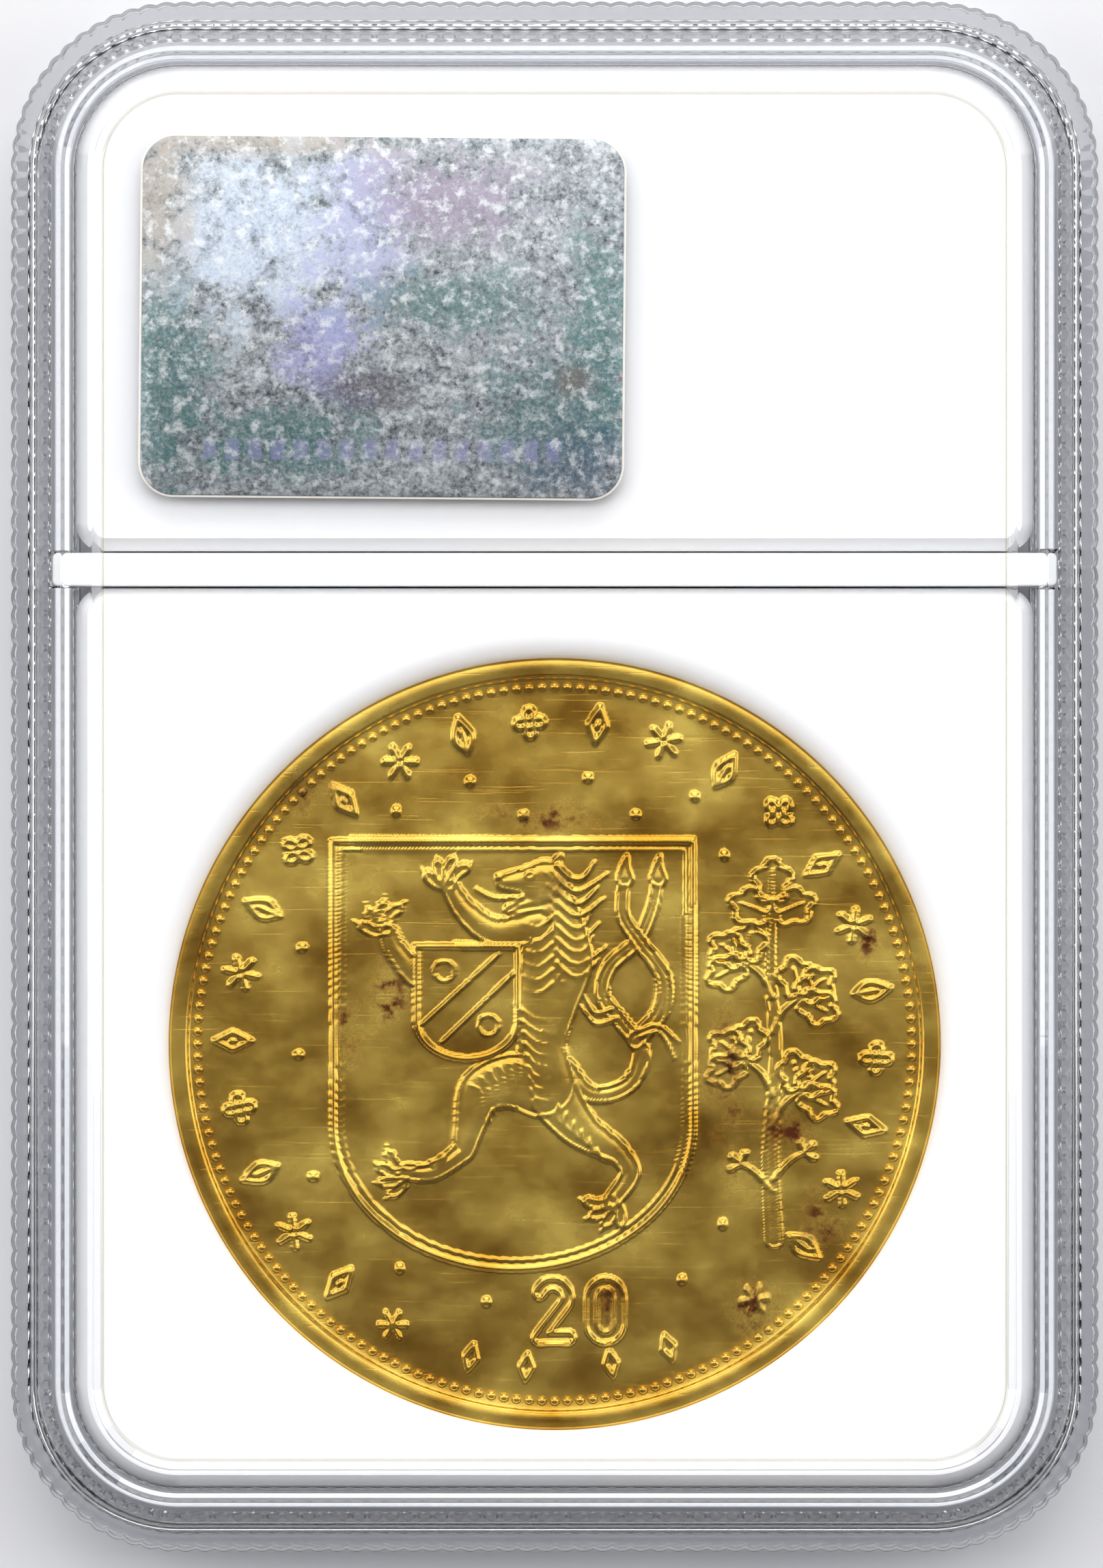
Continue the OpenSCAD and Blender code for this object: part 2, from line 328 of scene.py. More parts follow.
def section_sweep():
    """The tree that carries a section round a rounded rectangle, with flutes in its outside."""
    tree, given = open_tree("section_round_the_slab", (("Section", "Geometry"),
        ("Width", "Float", SLAB_W * MM), ("Height", "Float", SLAB_H * MM),
        ("Corner Radius", "Float", CORNER_R * MM), ("Flutes", "Int", FLUTES),
        ("Stations", "Int", STATIONS_PER_FLUTE), ("Flute Depth", "Float", 0.0),
        ("Flute Reach", "Float", FLUTE_REACH * MM), ("Material", "Material")))
    box = add(tree, "GeometryNodeCurvePrimitiveQuadrilateral",
        {"Width": given["Width"], "Height": given["Height"]})
    rounded = add(tree, "GeometryNodeFilletCurve", {"Curve": box, "Count": 64,
        "Radius": given["Corner Radius"]}, mode="POLY")
    stations = add(tree, "Math", (given["Flutes"], given["Stations"]), operation="MULTIPLY")
    spaced = add(tree, "GeometryNodeResampleCurve", {"Curve": rounded, "Count": stations}, mode="COUNT")
    level = add(tree, "GeometryNodeSetCurveNormal", {"Curve": spaced}, mode="Z_UP")
    along = add(tree, "GeometryNodeSplineParameter")
    turn = add(tree, "Math", (along.outputs["Index"], math.pi), operation="MULTIPLY")
    turn_each = add(tree, "Math", (turn, given["Stations"]), operation="DIVIDE")
    tangent = add(tree, "GeometryNodeInputTangent")
    named = add(tree, "GeometryNodeStoreNamedAttribute",
        {"Geometry": level, "Name": "turn", "Value": turn_each}, data_type="FLOAT")
    named = add(tree, "GeometryNodeStoreNamedAttribute",
        {"Geometry": named, "Name": "heading", "Value": tangent}, data_type="FLOAT_VECTOR")
    section = add(tree, "GeometryNodeMeshToCurve", {"Mesh": given["Section"]})
    spot = add(tree, "GeometryNodeInputPosition")
    section = add(tree, "GeometryNodeStoreNamedAttribute",
        {"Geometry": section, "Name": "section", "Value": spot}, data_type="FLOAT_VECTOR")
    carried = add(tree, "GeometryNodeCurveToMesh", {"Curve": named, "Profile Curve": section})
    read_turn = add(tree, "GeometryNodeInputNamedAttribute", {"Name": "turn"}, data_type="FLOAT")
    read_heading = add(tree, "GeometryNodeInputNamedAttribute", {"Name": "heading"},
        data_type="FLOAT_VECTOR")
    read_section = add(tree, "GeometryNodeInputNamedAttribute", {"Name": "section"},
        data_type="FLOAT_VECTOR")
    wave = add(tree, "Math", (read_turn,), operation="SINE")
    ridge = add(tree, "Math", (wave,), operation="ABSOLUTE")
    valley = add(tree, "Math", (ridge, 1.0), operation="SUBTRACT")
    across = add(tree, "SeparateXYZ", {"Vector": read_section})
    inwards = add(tree, "Math", (across.outputs["X"], -1.0), operation="MULTIPLY")
    near = add(tree, "MapRange", {"Value": inwards, "From Min": given["Flute Reach"],
        "From Max": FLUTES_END * MM, "To Min": 1.0, "To Max": 0.0})
    depth = add(tree, "Math", (valley, given["Flute Depth"]), operation="MULTIPLY")
    pressed = add(tree, "Math", (depth, near), operation="MULTIPLY")
    outwards = add(tree, "VectorMath", (read_heading, (0, 0, 1)), operation="CROSS_PRODUCT")
    offset = add(tree, "VectorMath", {0: outwards, "Scale": pressed}, operation="SCALE")
    fluted = add(tree, "GeometryNodeSetPosition", {"Geometry": carried, "Offset": offset})
    return close_tree(tree, given, fluted)


SWEEP = section_sweep()


def swept(name, section, material, closed=False, flute_depth=0.0):
    """Carries a section of (u, z) points round the slab and gives the plain mesh's object."""
    count = len(section)
    mesh = bpy.data.meshes.new(name)
    edges = [(k, k + 1) for k in range(count - 1)] + ([(count - 1, 0)] if closed else [])
    mesh.from_pydata([(-u * MM, -z * MM, 0) for u, z in section], edges, [])
    made = bpy.data.objects.new(name, mesh)
    bpy.context.scene.collection.objects.link(made)
    return run_tree(made, SWEEP, {"Material": material, "Flute Depth": flute_depth * MM})


def softened(section, radius, corners):
    """The section with a short arc of three points at each of the numbered corners."""
    points = []
    for k, here in enumerate(section):
        if k not in corners:
            points.append(here)
            continue
        here = np.array(here)
        before, after = np.array(section[k - 1]) - here, np.array(section[k + 1]) - here
        start = here + before / np.linalg.norm(before) * radius
        end = here + after / np.linalg.norm(after) * radius
        points += [tuple(start), tuple((start + end + 2 * here) / 4), tuple(end)]
    return points


def close_windows(made, per_station, keep_every=24, inset=0.6):
    """Closes both faces of the window: a narrow band of fans, then one plain face."""
    shell = bmesh.new()
    shell.from_mesh(made.data)
    around = len(made.data.vertices) // per_station
    swept_points = list(shell.verts)
    for first in (0, per_station - 1):
        rim = swept_points[first::per_station]
        inner = []
        for k in range(0, around, keep_every):
            spot = rim[k].co
            ahead = (rim[(k + 1) % around].co - rim[k - 1].co).normalized()
            inwards = Vector((-ahead.y, ahead.x, 0))
            if inwards.dot(spot - Vector((0, spot.y / 2, spot.z))) > 0:
                inwards.negate()
            inner.append(shell.verts.new(spot + inwards * inset * MM))
        half = keep_every // 2
        for k in range(around):
            nearest = inner[((k + half) // keep_every) % len(inner)]
            after = inner[((k + 1 + half) // keep_every) % len(inner)]
            shell.faces.new((rim[k], rim[(k + 1) % around], nearest))
            if after is not nearest:
                shell.faces.new((rim[(k + 1) % around], after, nearest))
        shell.faces.new(inner)
    bmesh.ops.recalc_face_normals(shell, faces=shell.faces)
    print(f"{made.name}: {sum(not e.is_manifold for e in shell.edges)} open edges")
    shell.to_mesh(made.data)
    shell.free()

# %% Rear shell
SEAM_Z, SEAM_GAP = SLAB_T / 2, 0.04
LEDGE_Z, FRAME_Z, REAR_WINDOW_Z, WINDOW_T = 7.2, 7.55, 7.1, 1.0
CAVITY_TOP = REAR_WINDOW_Z - WINDOW_T
CAVITY_BOTTOM = SLAB_T - CAVITY_TOP
WALL_T, REBATE_U, REBATE_D = 2.1, 1.6, 0.3
REAR_SECTION = [(5.17, REAR_WINDOW_Z), (5.07, REAR_WINDOW_Z), (4.52, FRAME_Z), (3.37, FRAME_Z),
    (2.87, SLAB_T), (1.57, SLAB_T), (1.42, 7.85), (1.3, LEDGE_Z), (0.37, LEDGE_Z), (0.12, 6.95),
    (0, 5.04), (0, SEAM_Z + SEAM_GAP), (REBATE_U, SEAM_Z + SEAM_GAP), (REBATE_U, SEAM_Z + REBATE_D),
    (WALL_T, SEAM_Z + REBATE_D), (WALL_T, CAVITY_TOP), (5.17, CAVITY_TOP)]
rear_section = softened(REAR_SECTION, 0.09, (1, 2, 3, 4, 7, 8, 9))
rear_shell = swept("rear_shell_clear", rear_section, CLEAR_PLASTIC, flute_depth=FLUTE_DEPTH)
close_windows(rear_shell, len(rear_section))
smooth_by_angle(rear_shell, 32)
place(rear_shell, CLEAR_PLASTIC, "case", "rear_shell")

# %% [markdown]
# The front shell is made the same way. Its locating wall stands up inside the back shell, and has
# a notch on each side that the bar's end drops into. The wall's top is the only part of this
# moulding that stands so high, so the notch is pressed down in the finished mesh.

# %% Front shell
FRONT_WINDOW_Z, INNER_WALL_U, INNER_WALL_T, INNER_WALL_TOP = 0.9, 2.2, 1.2, 5.8
INNER_FACE_U = INNER_WALL_U + INNER_WALL_T
FRONT_SECTION = [(3.6, CAVITY_BOTTOM), (INNER_FACE_U, CAVITY_BOTTOM), (INNER_FACE_U, INNER_WALL_TOP),
    (INNER_WALL_U, INNER_WALL_TOP), (INNER_WALL_U, SEAM_Z - REBATE_D), (REBATE_U, SEAM_Z - REBATE_D),
    (REBATE_U, SEAM_Z - SEAM_GAP), (0, SEAM_Z - SEAM_GAP), (0, 2.96), (0.12, 0.25), (0.37, 0), (1.2, 0),
    (1.45, FRONT_WINDOW_Z), (3.6, FRONT_WINDOW_Z)]
front_section = softened(FRONT_SECTION, 0.09, (2, 3, 9, 10, 11))
front_shell = swept("front_shell_clear", front_section, CLEAR_PLASTIC, flute_depth=FLUTE_DEPTH)
close_windows(front_shell, len(front_section))
notch_half = (BAR_HIGH[1] - BAR_LOW[1]) / 2 + 0.1
bar_y = (BAR_HIGH[1] + BAR_LOW[1]) / 2
notch_drop = INNER_WALL_TOP - CAVITY_BOTTOM - 0.02
ridge_top = INNER_WALL_TOP + 0.14
# A thin white ridge on the locating wall's top is a painted highlight, which shows as a bright line.
ridge = swept("front_shell_highlight_ridge", [(2.42, INNER_WALL_TOP + 0.01), (2.8, INNER_WALL_TOP + 0.01),
    (2.72, ridge_top), (2.5, ridge_top)], HIGHLIGHT_LINE_PLASTIC, closed=True)
for made in (front_shell, ridge):
    for vertex in made.data.vertices:
        if vertex.co.z > 5 * MM and abs(vertex.co.y - bar_y * MM) < notch_half * MM:
            vertex.co.z -= notch_drop * MM
smooth_by_angle(front_shell, 32)
smooth_by_angle(ridge, 32)
place(front_shell, CLEAR_PLASTIC, "case", "front_shell")
place(ridge, HIGHLIGHT_LINE_PLASTIC, "case", "front_shell")

# %% [markdown]
# The weld bead is a ring of plastic that melted under the welding horn. It was laid by a row of
# small teeth, so it is lumpy along its length. It is carried round by the same tree, and then
# squeezed towards its own middle, more in some places than in others.

# %% Weld bead
BEAD_CLEARANCE = 0.012
bead_low, bead_high = SEAM_Z - REBATE_D + BEAD_CLEARANCE, SEAM_Z + REBATE_D - BEAD_CLEARANCE
bead_out, bead_in = REBATE_U + BEAD_CLEARANCE, WALL_T - BEAD_CLEARANCE
weld = swept("weld_ring", [(bead_out, bead_low), (bead_in, bead_low), (bead_in, bead_high),
    (bead_out, bead_high)], WELD_PLASTIC, closed=True)
TEETH_PITCH = 0.92
ring = np.array([vertex.co for vertex in weld.data.vertices]) / MM
around = np.arange(len(ring)) // 4 * (2 * (SLAB_W + SLAB_H) - 8 * CORNER_R + 2 * math.pi * CORNER_R) / (
    len(ring) // 4)
lump = 0.5 + 0.5 * np.cos(2 * math.pi * around / TEETH_PITCH + 0.8 * np.sin(around * 0.31))
squeeze = 0.12 + 0.75 * (1 - lump) ** 1.5
middle = ring.reshape(-1, 4, 3).mean(axis=1).repeat(4, axis=0)
ring = ring + (middle - ring) * squeeze[:, None]
weld.data.vertices.foreach_set("co", (ring * MM).ravel())
weld.data.update()
smooth_by_angle(weld, 50)
place(weld, WELD_PLASTIC, "case", "weld_bead")

# %% [markdown]
# ## White inserts
#
# The insert is soft white moulded plastic, with a satin skin and a bevel round both faces. A
# block with rings of outlines gives the bevel its rounded shoulders, and a boolean cuts the bore
# with its seat, snap bead and dish, as a lathe tool would.

# %% White satin plastic
def white_plastic():
    """Satin white moulded polystyrene, with a faint skin texture and a few dust specks."""
    tree, place_on, material = new_material("white_satin_moulding")
    skin = add(tree, "TexNoise", {"Vector": place_on, "Scale": 1 / (0.35 * MM), "Detail": 2})
    cloud = add(tree, "TexNoise", {"Vector": place_on, "Scale": 1 / (14 * MM), "Detail": 3})
    colour = add(tree, "Mix", {0: cloud, 6: "#F1F3F5", 7: "#F8F7F4"}, data_type="RGBA")
    cells = add(tree, "TexVoronoi", {"Vector": place_on, "Scale": 1 / (2.6 * MM), "Randomness": 1.0})
    speck = add(tree, "MapRange", {"Value": cells, "From Min": 0.02, "From Max": 0.045})
    rare = add(tree, "SeparateColor", {"Color": cells.outputs["Color"]})
    seldom = add(tree, "Math", (rare.outputs["Red"], 0.93), operation="LESS_THAN")
    unmarked = add(tree, "Math", (speck, seldom), operation="MAXIMUM")
    dust_and_shade_line = add(tree, "Mix", {0: unmarked, 6: "#8C8A86", 7: colour}, data_type="RGBA")
    gloss = add(tree, "MapRange", {"Value": skin, "To Min": 0.38, "To Max": 0.5})
    grain = add(tree, "Bump", {"Height": skin, "Strength": 0.25, "Distance": 0.01 * MM})
    plastic = add(tree, "BsdfPrincipled", {"Base Color": dust_and_shade_line, "Roughness": gloss, "IOR": 1.5,
        "Normal": grain})
    return surfaced(material, plastic)


WHITE_PLASTIC = white_plastic()

# %% Inserts and bar
INSERT_U, BEVEL_W, BEVEL_D, SPLIT_R, SHOULDER = 3.5, 0.7, 0.8, 1.5, 0.12
INSERT_BOTTOM, INSERT_TOP = box_mm("coin_insert")[0][2], box_mm("coin_insert")[1][2]


def bevelled_block(name, low, high, radii, bottom_bevel=True):
    """A block between two corners, with a bevel and soft shoulders round its faces."""
    run = BEVEL_W / BEVEL_D
    inward = [(0, BEVEL_D + SHOULDER), (SHOULDER * 0.3 * run, BEVEL_D - SHOULDER * 0.3),
        (BEVEL_W - SHOULDER * run * 0.7, SHOULDER * 0.7), (BEVEL_W - SHOULDER * 0.1, SHOULDER * 0.1),
        (BEVEL_W + SHOULDER, 0)]
    lower = [(u, low[2] + d) for u, d in reversed(inward)] if bottom_bevel else [(SHOULDER, low[2]),
        (0, low[2] + SHOULDER)]
    return rounded_block(name, low, high, radii, lower + [(u, high[2] - d) for u, d in inward])


def carve(made, tool):
    """Cuts the tool out of a piece and removes the tool."""
    cut = made.modifiers.new("carve", "BOOLEAN")
    cut.operation, cut.solver, cut.object = "DIFFERENCE", "EXACT", tool
    applied(made)
    bpy.data.objects.remove(tool)


def weighted(made):
    """Lets large flat faces keep their own direction, so that shoulders blend into them."""
    made.modifiers.new("weighted", "WEIGHTED_NORMAL").keep_sharp = True
    applied(made)


OUTER_R = CORNER_R - INSERT_U
coin_insert = bevelled_block("coin_insert_white", *box_mm("coin_insert"),
    (SPLIT_R, SPLIT_R, OUTER_R, OUTER_R))
BORE_R, SEAT_R, SNAP_R, DISH_W = COIN_R + 0.05, COIN_R - 0.6, COIN_R - 0.08, 1.5
SEAT_Z, SNAP_Z = COIN_LOW[2] - 0.03, COIN_HIGH[2] + 0.03
SEAT_T, SNAP_T, CURVE_STEPS = 0.3, 0.06, 14


def dish(radius, low, high):
    """Radius and height along a concave quarter curve from a bore's edge to the face."""
    return [(radius + DISH_W * (1 - math.cos(a)), low + (high - low) * math.sin(a))
        for a in np.linspace(0, math.pi / 2, CURVE_STEPS)]


lower_dish = dish(SEAT_R, SEAT_Z - SEAT_T, INSERT_BOTTOM)
upper_dish = dish(SNAP_R, SNAP_Z + SNAP_T, INSERT_TOP)
bore_profile = ([(lower_dish[-1][0], INSERT_BOTTOM - 1)] + lower_dish[::-1] + [(SEAT_R, SEAT_Z),
    (BORE_R, SEAT_Z), (BORE_R, COIN_HIGH[2] - 0.15), (SNAP_R, SNAP_Z)] + upper_dish + [(upper_dish[-1][0],
    INSERT_TOP + 1)])
carve(coin_insert, stack("bore_tool", [(circle(r, COIN_CENTRE, 240), z) for r, z in bore_profile]))
smooth_by_angle(coin_insert, 30)
weighted(coin_insert)
place(coin_insert, WHITE_PLASTIC, "case", "coin_insert")

label_carrier = bevelled_block("label_carrier_white", *box_mm("label_carrier"),
    (OUTER_R, OUTER_R, SPLIT_R, SPLIT_R), bottom_bevel=False)
smooth_by_angle(label_carrier, 30)
weighted(label_carrier)
place(label_carrier, WHITE_PLASTIC, "case", "label_carrier")

BAR_R, BAR_SHOULDER = 0.3, ((0.15, 0), (0.04, 0.04), (0, 0.15))
bar_levels = ([(inset, BAR_LOW[2] + d) for inset, d in BAR_SHOULDER] + [(inset,
    BAR_HIGH[2] - d) for inset, d in reversed(BAR_SHOULDER)])
bar = rounded_block("divider_bar_white", BAR_LOW, BAR_HIGH, [BAR_R] * 4, bar_levels, shrink=0.9, steps=6)
smooth_by_angle(bar, 35)
weighted(bar)
place(bar, WHITE_PLASTIC, "case", "divider_bar")

# %% [markdown]
# ## The coin's relief
#
# A coin is struck between two dies, so each face is one continuous surface that rises from a flat
# field. The design is drawn here as an engraver would cut it: lines and bodies follow short paths
# of given points, in millimetres from the coin's middle, and the distance to each path gives
# a rounded height. The highest of them wins. The lion, leaves and border ornaments are generic.

# %% Tools for a struck relief
def flowing(points, steps=8):
    """A smooth path through given points."""
    knots = np.array([points[0], *points, points[-1]], float)
    ts = np.linspace(0, 1, steps, endpoint=False)[:, None]
    path = [0.5 * (2 * b + (c - a) * ts + (2 * a - 5 * b + 4 * c - d) * ts ** 2 + (3 * b - a - 3 * c + d)
        * ts ** 3) for a, b, c, d in zip(knots, knots[1:], knots[2:], knots[3:])]
    return np.vstack([*path, knots[-1:]])


class Relief:
    """The height of one face of the coin over its field, at many places at once."""

    def __init__(self, places):
        self.places = places
        self.height = np.zeros(len(places))

    def within(self, path, reach):
        """The places close enough to a path to matter."""
        low, high = path.min(axis=0) - reach, path.max(axis=0) + reach
        return np.where(((self.places > low) & (self.places < high)).all(axis=1))[0]

    def distance(self, near, path, radius):
        """Distance from some places to a path whose radius runs from one end to the other."""
        radii = np.interp(np.linspace(0, 1, len(path)), np.linspace(0, 1, len(radius)), radius)
        spots, least = self.places[near], np.full(len(near), 9.0)
        for start, end, thick, thin in zip(path, path[1:], radii, radii[1:]):
            run = end - start
            share = np.clip((spots - start) @ run / max(run @ run, 1e-9), 0, 1)
            away = np.hypot(*(spots - start - share[:, None] * run).T)
            least = np.minimum(least, away - thick - (thin - thick) * share)
        return least

    def line(self, path, width, height):
        """Raises a rounded line along a path. A width of two values tapers it."""
        path, width = np.asarray(path, float), np.atleast_1d(width) / 2
        near = self.within(path, width.max() + 0.05)
        depth = np.clip(-self.distance(near, path, width) / width.max(), 0, 1)
        lift = height * np.sqrt(1 - (1 - depth) ** 2)
        self.height[near] = np.maximum(self.height[near], lift)

    def body(self, limbs, swell, contour=0.2, rise=0.14, cover=False):
        """Raises a modelled body made of limbs, with a raised line round its edge."""
        everything = np.vstack([path for path, radius in limbs])
        reach = max(max(np.atleast_1d(radius)) for path, radius in limbs) + contour
        near = self.within(everything, reach)
        least = np.full(len(near), 9.0)
        for path, radius in limbs:
            least = np.minimum(least, self.distance(near, path, np.atleast_1d(radius)))
        inside = np.clip(-least / 0.7, 0, 1)
        lift = swell * inside * (2 - inside)
        edge = np.clip(1 - (least + contour / 2) ** 2 / (contour / 2) ** 2, 0, 1) ** 0.5
        lift = np.maximum(lift, rise * edge)
        if cover:
            covered = least < -contour / 2
            self.height[near] = np.where(covered, lift, np.maximum(self.height[near], lift))
        else:
            self.height[near] = np.maximum(self.height[near], lift)

    def plate(self, outline, height):
        """Covers what lies inside a closed outline with a flat plate."""
        outline = np.asarray(outline, float)
        near = self.within(outline, 0)
        x, y = self.places[near].T
        inside = np.zeros(len(near), bool)
        for (ax, ay), (bx, by) in zip(outline, np.roll(outline, -1, axis=0)):
            if ay != by:
                inside ^= ((ay > y) != (by > y)) & (x < (bx - ax) * (y - ay) / (by - ay) + ax)
        self.height[near[inside]] = height

    def stroke(self, points, width, height):
        """Raises a line along the smooth path through a few points."""
        self.line(flowing(points), width, height)

    def pellet(self, x, y, radius, height):
        """Raises a round pellet."""
        self.line(np.array([(x, y), (x + 0.01, y)]), 2 * radius, height)


def turned(points, x, y, degrees, size=1.0):
    """Small ornament points, scaled, turned and moved to their place on the coin."""
    angle = math.radians(degrees)
    turn = np.array([(math.cos(angle), math.sin(angle)), (-math.sin(angle), math.cos(angle))])
    return np.asarray(points, float) * size @ turn + (x, y)


def ellipse(x, y, width, height, start=0, end=360, steps=40):
    """Points along part of an ellipse."""
    angles = np.radians(np.linspace(start, end, steps))
    return np.column_stack([x + width / 2 * np.cos(angles), y + height / 2 * np.sin(angles)])

# %% Shield
def strike_shield(relief):
    """The shield: straight shoulders, a round foot, and a thin line inside its edge."""
    for inset, width, height in ((0, 0.36, 0.17), (0.46, 0.16, 0.08)):
        left, right, top = -12 + inset, 7.5 - inset, 11 - inset
        foot = ellipse(-2.25, -4.4, right - left, 2 * (7.8 - inset), 360, 180, 48)
        relief.line(np.vstack([(left, top), (right, top), foot, (left, top)]), width, height)

# %% Lion
def strike_paw(relief, x, y, heading, size=1.0):
    """A paw: four spread toes with claws, pointing along a heading in degrees."""
    for spread in (-54, -18, 18, 54):
        toe = flowing(turned([(0, 0), (0.7, 0.05), (1.25, -0.22)], x, y, heading + spread, size))
        relief.body([(toe, (0.34 * size, 0.3 * size))], 0.1, 0.16)
        claw = turned([(1.35, -0.2), (1.75, -0.55)], x, y, heading + spread, size)
        relief.line(claw, (0.2, 0.08), 0.12)


def strike_tail(relief):
    """The tail, which divides in two and crosses itself on the way up."""
    root = flowing([(0.6, -1.2), (2.0, -2.7), (4.0, -2.2), (4.7, -0.4), (3.6, 1.2), (2.6, 2.6),
        (3.0, 4.2), (4.5, 5.6), (5.3, 7.4), (5.6, 9.0)])
    other = flowing([(4.4, 0.2), (5.7, 1.7), (5.9, 3.6), (4.7, 5.4), (3.7, 7.0), (3.8, 9.0)])
    for path in (root, other):
        relief.body([(path, (0.5, 0.34))], 0.1, 0.17, cover=True)
        tip = path[-1]
        relief.body([(flowing([tip, tip + (0.0, 0.6), tip + (0.15, 1.3)]), (0.5, 0.08))], 0.12, 0.16,
            cover=True)
    for flick in ([(4.6, 0.4), (5.7, 0.6), (6.5, -0.9)], [(3.3, 1.4), (2.2, 1.1), (1.3, 2.2)],
            [(4.5, 0.7), (5.6, 1.0), (6.7, 0.1)], [(3.1, 1.9), (2.2, 1.7), (1.6, 2.6)]):
        relief.stroke(flick, (0.34, 0.1), 0.14)


def strike_lion(relief):
    """A lion on its hind legs, drawn with raised contours and strokes of fur."""
    strike_tail(relief)
    hind = [(flowing([(-0.2, -2.6), (1.4, -4.6), (3.4, -5.8)]), (1.5, 0.62)),
        (flowing([(3.4, -5.8), (4.1, -7.0), (3.2, -8.4)]), (0.62, 0.5))]
    relief.body(hind, 0.11, cover=True)
    strike_paw(relief, 3.1, -8.5, -112)
    front_low = [(flowing([(-2.6, 4.4), (-6.8, 3.6), (-8.4, 4.8), (-9.0, 6.0)]), (0.9, 0.5))]
    relief.body(front_low, 0.11, cover=True)
    strike_paw(relief, -9.1, 6.2, 128)
    trunk = [(flowing([(-0.1, 7.2), (0.1, 4.6), (-0.5, 2.2), (-0.7, 0), (-0.5, -2.2)]),
        (1.35, 2.0, 1.75, 1.3, 1.65)), (flowing([(-0.8, -2.4), (-2.4, -2.0), (-4.0, -2.6), (-4.6, -4.4),
        (-4.9, -5.8)]), (1.6, 1.5, 1.25, 0.85, 0.6)), (flowing([(-4.9, -5.8), (-6.6, -6.9),
        (-8.0, -6.9)]), (0.6, 0.5))]
    relief.body(trunk, 0.13, cover=True)
    strike_paw(relief, -8.1, -7.0, 196)
    front_high = [(flowing([(-0.9, 6.4), (-3.2, 6.1), (-4.8, 7.2), (-5.6, 8.4)]), (0.95, 0.5))]
    relief.body(front_high, 0.12, cover=True)
    strike_paw(relief, -5.7, 8.6, 112)
    head = [(np.array([(-0.5, 8.7), (-0.7, 8.6)]), 1.3),
        (np.array([(-1.2, 8.9), (-2.7, 8.8)]), (0.85, 0.5)),
        (np.array([(-0.9, 7.8), (-2.5, 7.3)]), (0.6, 0.28)),
        (flowing([(0.0, 9.6), (0.35, 10.3)]), (0.4, 0.12))]
    relief.body(head, 0.15, cover=True)
    relief.line(ellipse(-1.35, 9.15, 0.5, 0.36, steps=12), 0.12, 0.2)
    relief.pellet(-3.05, 9.05, 0.2, 0.2)
    relief.stroke([(-1.7, 8.0), (-3.2, 7.9), (-4.3, 8.4)], (0.22, 0.1), 0.15)
    relief.stroke([(-0.2, 9.4), (0.3, 8.9), (0.0, 8.3)], 0.14, 0.19)
    strike_fur(relief)

# %% Fur and small shield
def strike_fur(relief):
    """Curved strokes: the mane and chest, the flank, and the backs of the legs."""
    for k in range(9):
        down, far = 9.2 - 0.66 * k, 2.2 + 0.5 * (k % 2) + 0.25 * math.sin(k)
        relief.stroke([(0.1, down + 0.5), (0.9, down - 0.2), (1.6, down - 0.15), (far, down + 0.7)],
            (0.34, 0.08), 0.2)
        relief.stroke([(-0.5 + 0.12 * k, down + 0.1), (0.2, down - 0.5), (0.9, down - 0.6)], (0.28, 0.08),
            0.18)
    for k in range(6):
        down = 6.7 - 0.72 * k
        relief.stroke([(-0.1, down + 0.2), (-0.9, down - 0.35), (-1.9, down - 0.1)], (0.3, 0.08), 0.19)
    for k in range(9):
        down = 1.9 - 0.62 * k
        relief.stroke([(-1.9 + 0.09 * k, down), (-1.0, down - 0.55), (0.1, down - 0.75)], (0.26, 0.08),
            0.19)
    for k in range(6):
        relief.stroke([(0.2 + 0.42 * k, -3.3 - 0.48 * k), (0.1 + 0.5 * k, -4.0 - 0.45 * k),
            (1.0 + 0.5 * k, -4.9 - 0.32 * k)], (0.24, 0.08), 0.18)
    for k in range(6):
        relief.stroke([(-2.0 - 0.5 * k, -1.0 - 0.05 * k * k), (-1.9 - 0.42 * k, -1.9 - 0.16 * k),
            (-2.4 - 0.28 * k, -2.9 - 0.34 * k)], (0.24, 0.08), 0.18)
    for k in range(4):
        relief.stroke([(-5.2 - 0.7 * k, -5.9 - 0.22 * k), (-5.7 - 0.7 * k, -6.35 - 0.15 * k),
            (-6.3 - 0.6 * k, -6.5 - 0.1 * k)], (0.2, 0.08), 0.17)


def strike_small_shield(relief):
    """A plain small shield on the lion's chest: a band and two rings."""
    left, right, top, foot_y = -7.5, -2.0, 5.3, 1.3
    foot = ellipse((left + right) / 2, foot_y, right - left, 4.2, 360, 180, 30)
    outline = np.vstack([(left, top), (right, top), foot, (left, top)])
    relief.plate(outline, 0.03)
    relief.line(outline, 0.36, 0.21)
    relief.line([(left + 0.35, 1.1), (right - 1.0, top - 0.4)], 0.2, 0.14)
    relief.line([(left + 1.4, 0.1), (right - 0.25, top - 1.5)], 0.2, 0.14)
    relief.line(ellipse(left + 1.5, top - 1.35, 1.1, 1.1, steps=20), 0.18, 0.14)
    relief.line(ellipse(right - 1.6, foot_y - 0.3, 1.1, 1.1, steps=20), 0.18, 0.14)

# %% Twig
def leaf_outline(lobes=5):
    """A pointed leaf with shallow lobes, along +X from its stalk, one millimetre long."""
    angles = np.linspace(-math.pi, math.pi, 41)
    reach = 0.5 * (0.8 + 0.3 * np.abs(np.cos(angles * lobes / 2)) ** 1.5)
    return np.column_stack([0.52 + reach * np.cos(angles), 0.86 * reach * np.sin(angles)])


